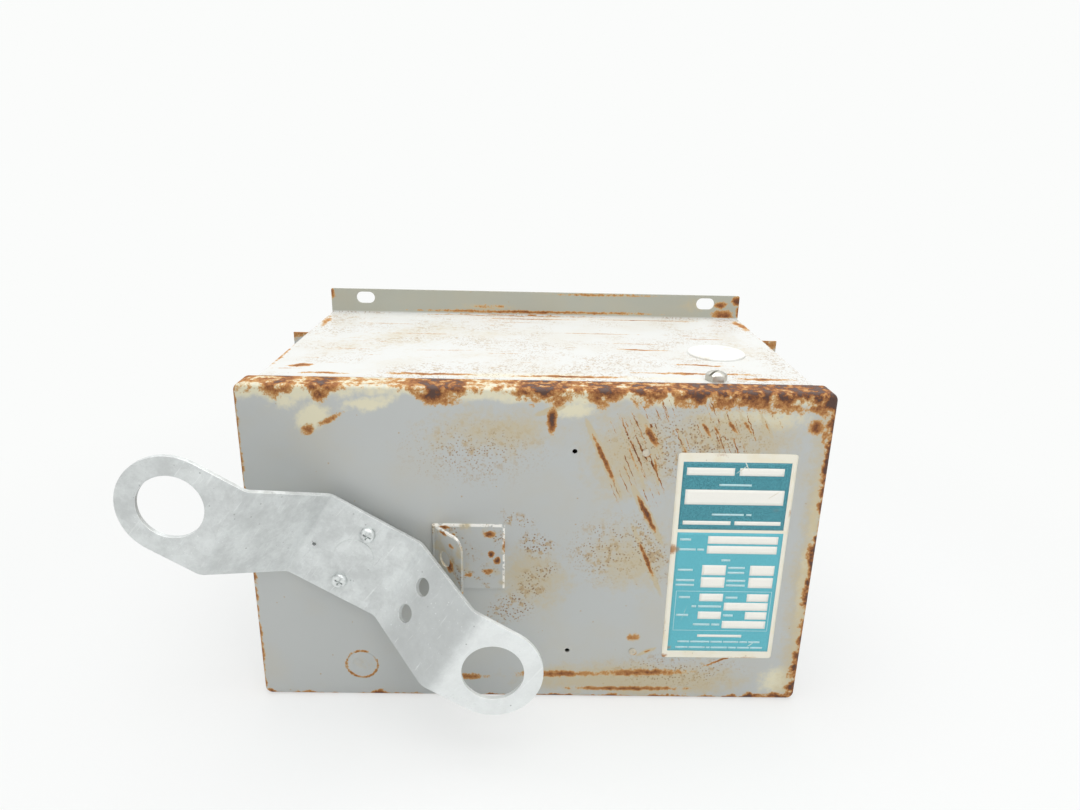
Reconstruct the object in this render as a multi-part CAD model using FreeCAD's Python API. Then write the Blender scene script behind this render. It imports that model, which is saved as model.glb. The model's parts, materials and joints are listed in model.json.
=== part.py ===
"""Plug-in fusible disconnect switch in a sheet steel box, worked by a bent eye lever.

Millimetres.  +X is to the right seen from the cover, +Y runs from the cover towards the busway,
+Z is up.  The origin lies in the flat underside, centred between the sides and half way between
the cover face and the plane of the mounting ears.  The lever is drawn in the ON position.
"""
import FreeCAD, Part
import math
import os

V = FreeCAD.Vector

# ---------------------------------------------------------------- driving dimensions
# enclosure
sheet = 1.5                    # thickness of every enclosure panel
cover_overhang = 10.5          # cover wider than the body, each side
cover_return = 18.5            # depth of the cover's turned-back rim
cover_corner_r = 5.0
cover_bend_r = 2.6
body_width = 360.0
body_height = 233.5
box_depth = 138.0              # cover face to the back of the mounting ears
hood_reach = 77.2              # ears to the front face of the upturned flange
flange_height = 21.0
ear_width = 11.4
ear_hole_r = 3.5
ear_hole_inset_z = 34.0
front_flange = 6.0             # stop flange inside the cover rim
front_flange_setback = 4.0
floor_gap = 0.6                # cover clears the surface that the box stands on
rim_gap = 0.5                  # cover rim to joggled lips
lip_reach = 14.0               # joggled lips of the body, forward of the step
slot_length = 16.0
slot_width = 10.0
slot_spacing = 300.0
slot_below_edge = 7.5          # flange edge to the slots' centres

# cover details
shaft_inset = 62.1             # lever shaft from the body's left side
shaft_z = 120.4
knockout_inset = 60.0          # from the body's left side
knockout_z = 26.0
knockout_r = 11.1
knockout_gap = 0.1
knockout_dimple_r = 9.0        # ball that pressed the dimple
knockout_dimple_depth = 0.7
knockout_dimple_shift = (-3.3, 2.0)
nameplate_inset = 132.1        # centre of the four holes from the body's right side
nameplate_z = 116.0
nameplate_pitch = (46.0, 151.5)
nameplate_hole_r = 1.65
label_size = (78.0, 156.5)
label_inset = 49.2             # label's centre from the body's right side
label_z = 114.0
label_thickness = 0.4
label_corner_r = 2.0
rivet_head = (2.55, 0.7)       # radius and height
rivet_tail = 2.0               # shank beyond the sheet
bracket_from_shaft = 49.5      # shaft axis to the bracket's left edge
bracket_base_width = 48.8
bracket_bottom = 90.9
bracket_height = 47.9
bracket_thickness = 1.6
bracket_leg = 31.0
bracket_leg_angle = 47.0
bracket_corner_r = 9.0
bracket_hole_r = 5.4
bracket_hole_along = 13.5
bracket_hole_rise = 27.6       # hole above the bracket's foot
bracket_heel = 0.4             # bend's outer face inside the left edge

# cover hinges
hinge_offset_x = 4.7           # pin axis outside the body's side
hinge_offset_y = 3.3           # pin axis behind the cover's rim
hinge_knuckle_r = 3.0
hinge_pin_r = 1.5
hinge_leaf = 1.2
hinge_height = 51.0
hinge_leaf_reach = 22.0
hinge_inset_z = (45.0, 45.5)   # hinge centres from the underside and from the top
hinge_pin_overhang = 1.0
running_fit = 0.06             # radial clearance of a pin or shaft that turns
knuckle_gap = 0.3

# top face
seal_inset = 46.7              # from the body's right side
seal_y = 93.8                  # from the cover face
seal_rim = 3.7                 # cap wider than its hole
seal_rise = 1.8
seal_skirt = (7.0, 1.0)        # depth and wall
conduit_hole_r = 17.5
release_inset = 62.1           # from the body's right side
release_behind_rim = 7.7       # screw axis behind the cover's rim
release_flats = 12.7
release_head_height = 6.5
release_slot = 2.0
release_slot_turn = 40.0
release_shank_r = 4.0
cam_reach = 15.0
cam_width = 12.0
cam_thickness = 3.0
cam_drop = 9.5                 # top face to the cam
catch_width = 14.0
catch_offset_x = 15.0          # catch centre to the left of the release screw
catch_thickness = 1.5
catch_rise = 8.0
catch_gap = 0.3

# operating lever
lever_tilt = 31.0              # right arm below the horizontal in the ON position
lever_travel = 40.0            # ON to OFF
lever_half_span = 108.4        # shaft axis to each eye's centre
lever_width = 63.6
lever_thickness = 3.0
lever_stand_off = 14.0         # cover face to the front of the middle section
eye_stand_off = 57.0           # cover face to the front of the eyes
lever_mid_half = 32.0
lever_bend_r = 8.0
eye_hole_r = 19.7
padlock_hole_r = 6.0
padlock_along = 47.4
padlock_pitch = 23.0
padlock_shift = 1.5
index_hole = (-26.2, -4.8)
index_hole_r = 1.3
screw_pitch = 39.2
screw_r = 2.5
screw_head_r = 5.1
screw_head_height = 3.2
screw_recess = 1.1             # width of the cross recess
shaft_r = 7.0
shaft_head = (13.0, 0.4)       # flat head on the lever's face, radius and thickness
bushing_wall = 2.5
bushing_inside = 12.0
bushing_lip = (4.0, 2.0)       # reach and thickness of the outer collar
bushing_nut = (4.5, 4.0)
washer_reach = 5.5
washer_gap = 0.1
groove_behind = 1.8            # bushing's end to the retainer's groove
groove_width = 1.3
groove_depth = 1.2
retainer_reach = 4.0
retainer_mouth = 6.0
hub_thickness = 6.5
hub_length = 56.0
hub_width = 22.0
hub_cover = 0.5                # screw's end inside the hub's back face

# drive train
crank_radius = 30.0
crank_face = 36.0              # cover face to the crank
crank_thickness = 3.0
crank_pin_r = 4.0
crank_margin = 4.0             # metal round the crank pin
crank_hub_margin = 5.0
crank_pin_head = 1.5
crank_to_slide = 5.0           # back of the crank to the slide
blade_throw = 64.0
slide_thickness = 2.0
slide_reach = (12.0, 14.0)     # slide's edges left and right of the studs
slide_foot_drop = 42.4         # shaft axis to the slide's foot
slide_margin = 11.5            # metal beyond the upper stud's slot
slide_slot_gap = 0.3
slide_foot = (7.0, 4.0, 3.5)   # half width, reach forward, reach back
drive_tab_half = 12.0
drive_tab_margin = 8.0
arm_slot_gap = 0.45
arm_slot_play = 0.6
crank_slot_play = 2.0
stud_r = 3.0
stud_drop = 32.4               # lower stud below the shaft
stud_rise = 39.6               # upper stud above the shaft
stud_head_r = 5.5
stud_head = 2.7
slide_side_gap = 0.3
bracket_gap = 4.0              # back of the slide to its bracket
bracket_above_slide = 8.0
bracket_wall_depth = 40.0      # its flange along the side wall
bracket_clear = 2.5            # slide's tab to the bracket's edge
seat_half = 9.0
seat_front = 6.0
mount_sheet = 2.0
spring_r = 4.2
spring_wire_r = 0.6
spring_turns = 6.0
spring_seat_drop = 80.4        # shaft axis to the spring's seat
spring_end_gap = 0.1
bell_gap = 3.0                 # slide's edge to the bell crank
bell_thickness = 3.0
bell_margin = 3.5
bell_hub_margin = 6.0
drive_pin_overhang = 2.0
pivot_bracket_gap = 3.0
pivot_bracket_half = 12.0
pivot_bracket_front = 10.0
pivot_bracket_foot = 20.0
pivot_pin_shoulder = 2.5
pivot_pin_end = (1.2, 1.5)     # beyond the bell crank and beyond the bracket
drive_pin_r = 3.0
pivot_pin_r = 4.0

# switch
pole_pitch = 62.0
pole_centre_x = 30.0
pivot_stand_off = 20.0         # switch base to the blades' pivot axis
blade_thickness = 3.0
blade_width = 16.0
blade_length = 62.0
blade_tail = 10.0
blade_pin_r = 2.5
blade_head = (1.2, 1.6)        # hinge pin's head, reach and thickness
contact_gap = 0.15
jaw_leaf = 2.0
jaw_leg = 8.0
jaw_bite = 14.0                # blade inside the line jaw
jaw_above_blade = 5.0
jaw_plate = (6.0, 5.0)         # terminal plate below and above the line jaw
hinge_jaw_half = 8.0
hinge_jaw_reach = 6.0
hinge_plate_above = 10.0
crossbar_size = 14.0
crossbar_drop = 28.0           # crossbar centre above the pivot in the ON position
crossbar_corner_r = 1.5
base_thickness = 19.0
base_below_top = 7.5           # underside of the top's outer face to the base
base_above_jaw = 9.0
base_foot = 4.0                # base below the lugs
stab_plate = 7.5               # plate of the stab moulding behind the base
terminal_thickness = 2.0
terminal_width = 18.0

# fuses
fuse_length = 76.0
fuse_to_pivot = 17.0
fuse_tube_r = 9.6
ferrule_wall = 0.7
ferrule_end = 1.0
ferrule_length = 16.0
clip_thickness = 1.2
clip_height = 12.0
clip_gap = 0.05
clip_inset = 2.0               # clip from the fuse's end
clip_foot = (5.0, 1.5)         # half width and thickness
clip_mouth = 0.9               # mouth's share of the clip's radius

# load lugs
lug_to_fuse = 5.0
lug_height = 22.0
lug_depth = 20.0
lug_plate_margin = 2.0
wire_hole_r = 4.2
wire_hole_in = 8.0             # terminal plate to the wire's axis
lug_screw_r = 4.0
lug_screw_proud = 2.5
lug_screw_slot = (1.6, 1.4)    # depth and width

# switch base fixing
base_overhang = 1.5            # base beyond half a pole pitch
base_screw_r = 2.5
base_screw_inset = 7.0
base_screw_head = (4.75, 3.0)
base_screw_nut = (4.5, 2.5)
base_screw_slot = (1.2, 1.2)
base_screw_end = 1.0

# chutes and barriers
chute_gap = 2.0                # jaw's plate to the chute's wall
chute_wall = 2.0
chute_height = 33.0
chute_reach = 24.0             # in front of the blades' pivot
barrier_thickness = 2.0
barrier_reach = 28.0
barrier_above_clip = 4.0

# busway stabs
window_margin = (21.0, 26.0)   # rear window beyond the outer stabs, across and up or down
window_gap = 1.5
moulding_gap = 0.3             # inserts in moulded pockets
stab_z = (160.0, 120.0, 80.0)
strap_thickness = 3.0
stab_reach = 45.0              # ears to the tips of the stabs
stab_gap = 6.4
stab_leaf = 1.5
stab_width = 18.0
finger_reach = 52.0
finger_thickness = 3.0
finger_margin = 3.0            # finger beyond the stab, each side
finger_gap = 0.6
boss_reach = 12.0
fork_root = 3.0                # fork's root beyond the boss

# grounding
ground_drop = 52.0             # lowest stab to the ground stab
ground_half = 10.0
ground_foot_rise = 14.0
ground_reach = 58.0
ground_rivet = (3.5, 2.0, 5.0)  # radius, height, above the strap's middle
ground_lug_inset = 30.0        # from the body's right side
ground_lug_half = 8.0
ground_lug_depth = 22.0
ground_lug_height = 16.0
ground_lug_setback = 34.0      # its front from the rear panel
ground_wire_z = 6.0

# ---------------------------------------------------------------- derived places
front = -box_depth / 2
rear = box_depth / 2
half_body = body_width / 2
half_cover = half_body + cover_overhang
top_z = body_height
top_under = top_z - sheet
rim_rear = front + cover_return
panel_front = rim_rear + rim_gap
rear_panel_front = rear - sheet
shaft_x = shaft_inset - half_body
knockout_x = knockout_inset - half_body
nameplate_x = half_body - nameplate_inset
label_x = half_body - label_inset
bracket_left = shaft_x + bracket_from_shaft
seal_x = half_body - seal_inset
seal_r = conduit_hole_r + seal_rim
release_x = half_body - release_inset
release_place = rim_rear + release_behind_rim
cam_top_z = top_z - cam_drop
hinge_x = half_body + hinge_offset_x
hinge_y = rim_rear + hinge_offset_y
hinge_centres_z = (hinge_inset_z[0], top_z - hinge_inset_z[1])

# lever and shaft
bushing_r = shaft_r + bushing_wall
lever_front = front - lever_stand_off
lever_back = lever_front + lever_thickness
lever_rise = eye_stand_off - lever_stand_off
lever_tip = lever_half_span + lever_width / 2
groove_y = front + bushing_inside + groove_behind

# switch base, from the rear panel and the top
base_back = rear_panel_front - stab_plate
base_y = base_back - base_thickness
terminal_y = base_y - terminal_thickness
base_top = top_z - base_below_top
line_jaw_z = (base_top - base_above_jaw - jaw_above_blade - jaw_bite, base_top - base_above_jaw)
line_jaw_mid = sum(line_jaw_z) / 2
pivot = (base_y - pivot_stand_off, line_jaw_z[0] + jaw_bite - blade_length)
fuse_bottom_z = pivot[1] - fuse_to_pivot - fuse_length
ferrule_r = fuse_tube_r + ferrule_wall
fuse_y = terminal_y - clip_thickness - ferrule_r - clip_gap
upper_clip_z = fuse_bottom_z + fuse_length - clip_height - clip_inset
lower_clip_z = fuse_bottom_z + clip_inset
lug_z = fuse_bottom_z - lug_to_fuse - lug_height
base_z = (lug_z - base_foot, base_top)
poles = [pole_centre_x + (i - 1) * pole_pitch for i in range(3)]
base_x0 = poles[0] - pole_pitch / 2 - base_overhang
base_x1 = poles[2] + pole_pitch / 2 + base_overhang
stab_window = (poles[0] - window_margin[0], poles[2] + window_margin[0],
               stab_z[2] - window_margin[1], stab_z[0] + window_margin[1])
stab_stem = stab_gap / 2 + stab_leaf
crossbar_place = (pivot[0] - blade_width / 2 - crossbar_size / 2, pivot[1] + crossbar_drop)

# drive train
half_crank = math.radians(lever_travel / 2)
half_blade = math.radians(blade_throw / 2)
slide_travel = 2 * crank_radius * math.sin(half_crank)
arm_radius = slide_travel / 2 / math.sin(half_blade)
drive_tab_z = pivot[1] + arm_radius * math.sin(half_blade)
crank_y = (front + crank_face, front + crank_face + crank_thickness)
slide_y = (crank_y[1] + crank_to_slide, crank_y[1] + crank_to_slide + slide_thickness)
stud_x = shaft_x - crank_radius
stud_z = (shaft_z - stud_drop, shaft_z + stud_rise)
slide_x = (stud_x - slide_reach[0], stud_x + slide_reach[1])
slide_z = (shaft_z - slide_foot_drop,
           max(stud_z[1] + slide_travel + slide_margin, drive_tab_z + drive_tab_half))
spring_seat_z = shaft_z - spring_seat_drop
bracket_face = slide_y[1] + bracket_gap
bell_x = (slide_x[1] + bell_gap, slide_x[1] + bell_gap + bell_thickness)
pivot_bracket_x = (bell_x[1] + pivot_bracket_gap, bell_x[1] + pivot_bracket_gap + mount_sheet)
drill = 400.0                  # longer than anything that is drilled


# ---------------------------------------------------------------- helpers
def box(x0, x1, y0, y1, z0, z1):
    return Part.makeBox(x1 - x0, y1 - y0, z1 - z0, V(x0, y0, z0))


def rod_x(r, x0, x1, y, z):
    return Part.makeCylinder(r, x1 - x0, V(x0, y, z), V(1, 0, 0))


def rod_y(r, x, y0, y1, z):
    return Part.makeCylinder(r, y1 - y0, V(x, y0, z), V(0, 1, 0))


def rod_z(r, x, y, z0, z1):
    return Part.makeCylinder(r, z1 - z0, V(x, y, z0), V(0, 0, 1))


def bore_x(r, y, z):
    """Drill along the whole of X."""
    return rod_x(r, -drill, drill, y, z)


def bore_y(r, x, z):
    """Drill along the whole of Y."""
    return rod_y(r, x, -drill, drill, z)


def bore_z(r, x, y):
    """Drill along the whole of Z."""
    return rod_z(r, x, y, -drill, drill)


def join(*shapes):
    return shapes[0].multiFuse(list(shapes[1:])).removeSplitter()


def cut(shape, *tools):
    return shape.cut(list(tools))


def slot_y(length, width, x, z, y0, y1):
    """A round-ended slot along X, cut along Y."""
    reach = (length - width) / 2
    bar = box(x - reach, x + reach, y0, y1, z - width / 2, z + width / 2)
    return join(bar, rod_y(width / 2, x - reach, y0, y1, z), rod_y(width / 2, x + reach, y0, y1, z))


def link_x(p, q, r, x0, x1):
    """A round-ended bar from p to q in the YZ plane, x0 to x1 thick."""
    dy, dz = q[0] - p[0], q[1] - p[1]
    bar = Part.makeBox(x1 - x0, math.hypot(dy, dz), 2 * r, V(x0, 0, -r))
    bar.rotate(V(0, 0, 0), V(1, 0, 0), math.degrees(math.atan2(dz, dy)))
    bar.translate(V(0, p[0], p[1]))
    return join(bar, rod_x(r, x0, x1, *p), rod_x(r, x0, x1, *q))


def edges_along(shape, axis, keep=lambda point: True):
    """Straight edges parallel to an axis whose middle point passes the test."""
    found = []
    for edge in shape.Edges:
        if not isinstance(edge.Curve, Part.Line):
            continue
        turn = abs(edge.tangentAt(edge.FirstParameter).dot(axis))
        if abs(turn - 1) < 1e-6 and keep(edge.CenterOfMass):
            found.append(edge)
    return found


def hex_prism(flats, x, y, z0, z1):
    r = flats / math.sqrt(3)
    ring = [V(x + r * math.cos(math.radians(a)), y + r * math.sin(math.radians(a)), z0)
            for a in range(0, 361, 60)]
    return Part.Face(Part.makePolygon(ring)).extrude(V(0, 0, z1 - z0))


def compound(shapes):
    return Part.makeCompound(list(shapes))


def save(name, shape):
    os.makedirs("parts", exist_ok=True)
    if shape.isNull() or not shape.isValid():
        raise RuntimeError(name + " is not a valid shape")
    shape.exportStep("parts/" + name + ".step")
    print(name, len(shape.Solids), round(shape.Volume, 1))


# ---------------------------------------------------------------- enclosure
def top_panel():
    """Flat top with a joggled lip under the cover rim and a hood whose rear edge turns up."""
    flange_y = rear + hood_reach
    flange_top = top_z + flange_height
    lip_top = top_under - rim_gap
    lip_half = half_body - sheet - rim_gap
    plate = box(-half_body, half_body, panel_front, flange_y + sheet, top_under, top_z)
    step = box(-lip_half, lip_half, panel_front, panel_front + sheet, lip_top - sheet, top_z)
    lip = box(-lip_half, lip_half, panel_front - lip_reach, panel_front + sheet, lip_top - sheet, lip_top)
    flange = box(-half_body, half_body, flange_y, flange_y + sheet, top_under, flange_top)
    body = join(plate, step, lip, flange)
    body = body.makeFillet(sheet, edges_along(body, V(0, 1, 0), lambda p: p.z > flange_top - sheet))
    slots = [slot_y(slot_length, slot_width, side * slot_spacing / 2, flange_top - slot_below_edge,
                    flange_y - sheet, flange_y + 2 * sheet) for side in (-1, 1)]
    return cut(body, *slots, bore_z(conduit_hole_r, seal_x, front + seal_y),
               bore_z(release_shank_r + running_fit, release_x, release_place))


def bottom_panel():
    lip_low = floor_gap + sheet + rim_gap
    lip_half = half_body - sheet - rim_gap
    plate = box(-half_body, half_body, panel_front, rear, 0, sheet)
    step = box(-lip_half, lip_half, panel_front, panel_front + sheet, 0, lip_low + sheet)
    lip = box(-lip_half, lip_half, panel_front - lip_reach, panel_front + sheet, lip_low, lip_low + sheet)
    return join(plate, step, lip)


def side_panel(side):
    """Side wall with a stop flange inside the cover and a mounting ear at the back."""
    low = floor_gap + 2 * sheet + 2 * rim_gap
    high = top_z - low
    nose_y = front + front_flange_setback
    ear_x = half_body + ear_width
    panel = join(box(half_body - sheet, half_body, panel_front, rear, sheet, top_under),
                 box(half_body - sheet, half_body, nose_y, panel_front, low, high),
                 box(half_body - sheet, half_body + front_flange, nose_y, nose_y + sheet, low, high),
                 box(half_body - sheet, ear_x, rear_panel_front, rear, sheet, top_under),
                 box(half_body, ear_x, rear_panel_front, rear, sheet, top_z))
    panel = cut(panel, *[bore_y(ear_hole_r, half_body + ear_width / 2, z)
                         for z in (ear_hole_inset_z, top_z - ear_hole_inset_z)])
    return panel.mirror(V(0, 0, 0), V(1, 0, 0)) if side < 0 else panel


def base_screw_places():
    """Corners of the insulating base, also drilled through everything behind it."""
    return [(x, z) for x in (base_x0 + base_screw_inset, base_x1 - base_screw_inset)
            for z in (base_z[0] + base_screw_inset, base_z[1] - base_screw_inset)]


def base_screw_bores():
    return [bore_y(base_screw_r + clip_gap, x, z) for x, z in base_screw_places()]


def rear_panel():
    inner = half_body - sheet
    plate = box(-inner, inner, rear_panel_front, rear, sheet, top_under)
    x0, x1, z0, z1 = stab_window
    return cut(plate, box(x0, x1, -drill, drill, z0, z1), *base_screw_bores())


def hole_seal():
    """Snap-in seal: a low domed cap and a spring skirt below the panel."""
    depth, wall = seal_skirt
    skirt_r = conduit_hole_r - 2 * clip_gap
    y = front + seal_y
    cap = rod_z(seal_r, seal_x, y, top_z, top_z + seal_rise)
    rim = [e for e in cap.Edges if e.CenterOfMass.z > top_z + seal_rise - clip_gap]
    cap = cap.makeFillet(seal_rise * 0.8, rim)
    skirt = cut(rod_z(skirt_r, seal_x, y, top_z - depth, top_z),
                rod_z(skirt_r - wall, seal_x, y, top_z - depth - wall, top_z))
    return join(cap, skirt)


# ---------------------------------------------------------------- cover
def rounded_pan(inset, corner_r, bend_r, y0, y1):
    """The cover's outer or inner form: a box with round corners and round front edges."""
    pan = box(-half_cover + inset, half_cover - inset, y0, y1, floor_gap + inset, top_z - inset)
    pan = pan.makeFillet(corner_r, edges_along(pan, V(0, 1, 0)))
    return pan.makeFillet(bend_r, [e for e in pan.Edges if abs(e.CenterOfMass.y - y0) < clip_gap])


def cover_pan():
    outer = rounded_pan(0.0, cover_corner_r, cover_bend_r, front, rim_rear)
    inner = rounded_pan(sheet, cover_corner_r - sheet, cover_bend_r - sheet, front + sheet, rim_rear + sheet)
    holes = [bore_y(bushing_r, shaft_x, shaft_z), bore_y(knockout_r + knockout_gap, knockout_x, knockout_z)]
    return cut(outer, inner, *holes, *[bore_y(nameplate_hole_r, x, z) for x, z in nameplate_holes()])


def nameplate_holes(sides=(-1, 1)):
    px, pz = nameplate_pitch
    return [(nameplate_x + s * px / 2, nameplate_z + t * pz / 2) for s in sides for t in (-1, 1)]


def cover_knockout():
    disc = rod_y(knockout_r, knockout_x, front, front + sheet, knockout_z)
    x, z = knockout_x + knockout_dimple_shift[0], knockout_z + knockout_dimple_shift[1]
    y = front + knockout_dimple_depth - knockout_dimple_r
    return cut(disc, Part.makeSphere(knockout_dimple_r, V(x, y, z)))


def rating_label():
    half_w, half_h = label_size[0] / 2, label_size[1] / 2
    plate = box(label_x - half_w, label_x + half_w, front - label_thickness, front,
                label_z - half_h, label_z + half_h)
    return plate.makeFillet(label_corner_r, edges_along(plate, V(0, 1, 0)))


def nameplate_rivets():
    """Two drive rivets left in their holes."""
    head_r, height = rivet_head
    y0, y1 = front - height, front + sheet + rivet_tail
    return compound([join(rod_y(head_r, x, y0, front, z), rod_y(nameplate_hole_r - clip_gap, x, y0, y1, z))
                     for x, z in nameplate_holes(sides=(1,))])


def padlock_bracket():
    """Base plate on the cover and a leg bent out at the slope of the lever's arm."""
    x0, t = bracket_left, bracket_thickness
    z0, z1 = bracket_bottom, bracket_bottom + bracket_height
    base = box(x0 + t, x0 + bracket_base_width, front - t, front, z0, z1)
    leg = Part.makeBox(bracket_leg, t, bracket_height, V(0, 0, 0))
    corner = edges_along(leg, V(0, 1, 0), lambda p: p.x > bracket_leg - t and p.z > bracket_height - t)
    leg = leg.makeFillet(bracket_corner_r, corner)
    leg = cut(leg, bore_y(bracket_hole_r, bracket_hole_along, bracket_hole_rise))
    leg.rotate(V(0, 0, 0), V(0, 0, 1), -bracket_leg_angle)
    leg.translate(V(x0 + bracket_heel, front - t, z0))
    heel = rod_z(t, x0 + t + bracket_heel, front - t, z0, z1)
    heel = heel.common(box(x0 - t, x0 + 4 * t, front - 3 * t, front, z0, z1))
    return join(base, heel, leg)


def cover_catch():
    """Strip behind the cover face whose turned-up end stands behind the release cam."""
    x0 = release_x - catch_offset_x - catch_width / 2
    x1 = x0 + catch_width
    t = catch_thickness
    z0 = cam_top_z - cam_thickness - catch_gap - 2 * t
    end_y = release_place + cam_width / 2 + catch_gap
    return join(box(x0, x1, front + sheet, end_y + t, z0, z0 + t),
                box(x0, x1, end_y, end_y + t, z0, z0 + catch_rise),
                box(x0, x1, front + sheet, front + sheet + t, z0 - catch_rise, z0 + t))


# ---------------------------------------------------------------- cover hinges
def knuckle(z0, z1):
    return rod_z(hinge_knuckle_r, hinge_x, hinge_y, z0, z1)


def hinge_parts():
    body_leaves, cover_leaves, pins = [], [], []
    rim_inner = half_cover - sheet
    front_web = hinge_y - hinge_knuckle_r
    back_web = hinge_y + hinge_knuckle_r - hinge_leaf
    free, tight = (bore_z(hinge_pin_r + gap, hinge_x, hinge_y) for gap in (running_fit, clip_gap))
    for centre in hinge_centres_z:
        z0, z1 = centre - hinge_height / 2, centre + hinge_height / 2
        a, b = z0 + hinge_height / 3, z1 - hinge_height / 3
        shapes = [box(half_body, half_body + hinge_leaf, back_web, back_web + hinge_leaf_reach, z0, z1)]
        for k0, k1 in ((z0, a - knuckle_gap), (b + knuckle_gap, z1)):
            web = box(half_body, hinge_x, back_web, back_web + hinge_leaf, k0, k1)
            shapes += [web, knuckle(k0, k1)]
        body_leaves.append(cut(join(*shapes), tight))
        leaf = box(rim_inner - hinge_leaf, rim_inner, front + front_flange_setback, front_web + hinge_leaf,
                   a, b)
        web = box(hinge_x, rim_inner, front_web, front_web + hinge_leaf, a, b)
        cover_leaves.append(cut(join(leaf, web, knuckle(a, b)), free))
        pins.append(rod_z(hinge_pin_r, hinge_x, hinge_y, z0 - hinge_pin_overhang, z1 + hinge_pin_overhang))
    return compound(body_leaves), compound(cover_leaves), compound(pins)


# ---------------------------------------------------------------- cover release
def release_screw():
    """Slotted hexagon head above the top, shank through it."""
    y = release_place
    head_top = top_z + release_head_height
    head = hex_prism(release_flats, release_x, y, top_z, head_top)
    dome_r = release_flats * 0.9
    head = head.common(join(Part.makeSphere(dome_r, V(release_x, y, head_top - dome_r)),
                            rod_z(dome_r, release_x, y, top_z - 1, top_z + release_head_height * 0.45)))
    slot = Part.makeBox(3 * release_flats, release_slot, release_head_height,
                        V(-1.5 * release_flats, -release_slot / 2, 0))
    slot.rotate(V(0, 0, 0), V(0, 0, 1), release_slot_turn)
    slot.translate(V(release_x, y, top_z + release_head_height * 0.55))
    shank = rod_z(release_shank_r, release_x, y, cam_top_z - cam_thickness, head_top * 0.5 + top_z * 0.5)
    return join(cut(head, slot), cut(shank, slot))


def release_cam():
    """Flat cam under the top; it points at the cover face when the screw is released."""
    y = release_place
    z0 = cam_top_z - cam_thickness
    arm = box(release_x - cam_width / 2, release_x + cam_width / 2, y - cam_reach, y, z0, cam_top_z)
    return cut(join(arm, rod_z(cam_width / 2, release_x, y, z0, cam_top_z)),
               bore_z(release_shank_r + clip_gap, release_x, y))


# ---------------------------------------------------------------- operating lever
def tilt(shape):
    """Turn a shape drawn with the lever level to its ON position."""
    shape.rotate(V(shaft_x, 0, shaft_z), V(0, 1, 0), lever_tilt)
    return shape


def lever_corners():
    """Folds of the strip seen from above, right of the shaft: front and back, near and far fold."""
    lag = lever_thickness * math.tan(math.radians(22.5))   # keeps the 45 degree arm's thickness
    near, far = lever_mid_half, lever_mid_half + lever_rise
    return {"front_near": (near, 0.0), "front_far": (far, lever_rise),
            "back_near": (near + lag, -lever_thickness),
            "back_far": (far + lag, lever_rise - lever_thickness)}


def lever_strip():
    """Flat middle, arms at 45 degrees and flat ends, with the strip's thickness kept round each bend."""
    corners = lever_corners()
    reach = lever_tip + lever_thickness
    half = [(0.0, 0.0), corners["front_near"], corners["front_far"], (reach, lever_rise),
            (reach, lever_rise - lever_thickness), corners["back_far"], corners["back_near"],
            (0.0, -lever_thickness)]
    z0 = shaft_z - lever_width / 2
    halves = []
    for side in (1, -1):
        ring = [V(shaft_x + side * u, lever_front - h, z0) for u, h in half]
        halves.append(Part.Face(Part.makePolygon(ring + [ring[0]])).extrude(V(0, 0, lever_width)))
    strip = join(*halves)

    def folds(*names):
        spots = [(shaft_x + side * corners[name][0], lever_front - corners[name][1])
                 for name in names for side in (-1, 1)]
        return edges_along(strip, V(0, 0, 1), lambda p: any(math.hypot(p.x - x, p.y - y) < clip_gap
                                                            for x, y in spots))

    strip = strip.makeFillet(lever_bend_r, folds("front_far", "back_near"))
    return strip.makeFillet(lever_bend_r - lever_thickness, folds("front_near", "back_far"))


def lever_outline():
    half = lever_width / 2
    y0, y1 = front - eye_stand_off - lever_thickness, front
    bar = box(shaft_x - lever_half_span, shaft_x + lever_half_span, y0, y1, shaft_z - half, shaft_z + half)
    return join(bar, *[rod_y(half, shaft_x + s * lever_half_span, y0, y1, shaft_z) for s in (-1, 1)])


def padlock_bores():
    """The two padlock holes, square to the right arm's slope."""
    lean = V(-1, -1, 0) / math.sqrt(2)
    y = lever_front - (padlock_along - lever_mid_half) + lever_thickness / math.sqrt(2)
    bores = []
    for s in (-1, 1):
        middle = V(shaft_x + padlock_along, y, shaft_z + padlock_shift + s * padlock_pitch / 2)
        start = middle - lean * padlock_pitch
        bores.append(Part.makeCylinder(padlock_hole_r, 2 * padlock_pitch, start, lean))
    return bores


def screw_heights():
    return [shaft_z + s * screw_pitch / 2 for s in (-1, 1)]


def handle_lever():
    lever = lever_strip().common(lever_outline())
    tools = [bore_y(eye_hole_r, shaft_x + s * lever_half_span, shaft_z) for s in (-1, 1)]
    tools += [bore_y(screw_r + clip_gap, shaft_x, z) for z in screw_heights()]
    tools += [bore_y(shaft_r + clip_gap, shaft_x, shaft_z),
              bore_y(index_hole_r, shaft_x + index_hole[0], shaft_z + index_hole[1])]
    return tilt(cut(lever, *tools, *padlock_bores()))


def handle_screws():
    """Pan head screws with a cross recess."""
    screws = []
    head_front = lever_front - screw_head_height
    arm, deep, wide = screw_head_r * 0.55, screw_head_height * 0.6, screw_recess / 2
    for z in screw_heights():
        head = rod_y(screw_head_r, shaft_x, head_front, lever_front, z)
        rim = [e for e in head.Edges if e.CenterOfMass.y < head_front + clip_gap]
        head = head.makeFillet(screw_head_height * 0.6, rim)
        shank = rod_y(screw_r, shaft_x, lever_front - screw_recess, lever_back + hub_thickness - hub_cover, z)
        cross = [box(shaft_x - a, shaft_x + a, head_front - screw_recess, head_front + deep, z - b, z + b)
                 for a, b in ((arm, wide), (wide, arm))]
        screws.append(cut(join(head, shank), *cross))
    return tilt(compound(screws))


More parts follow.
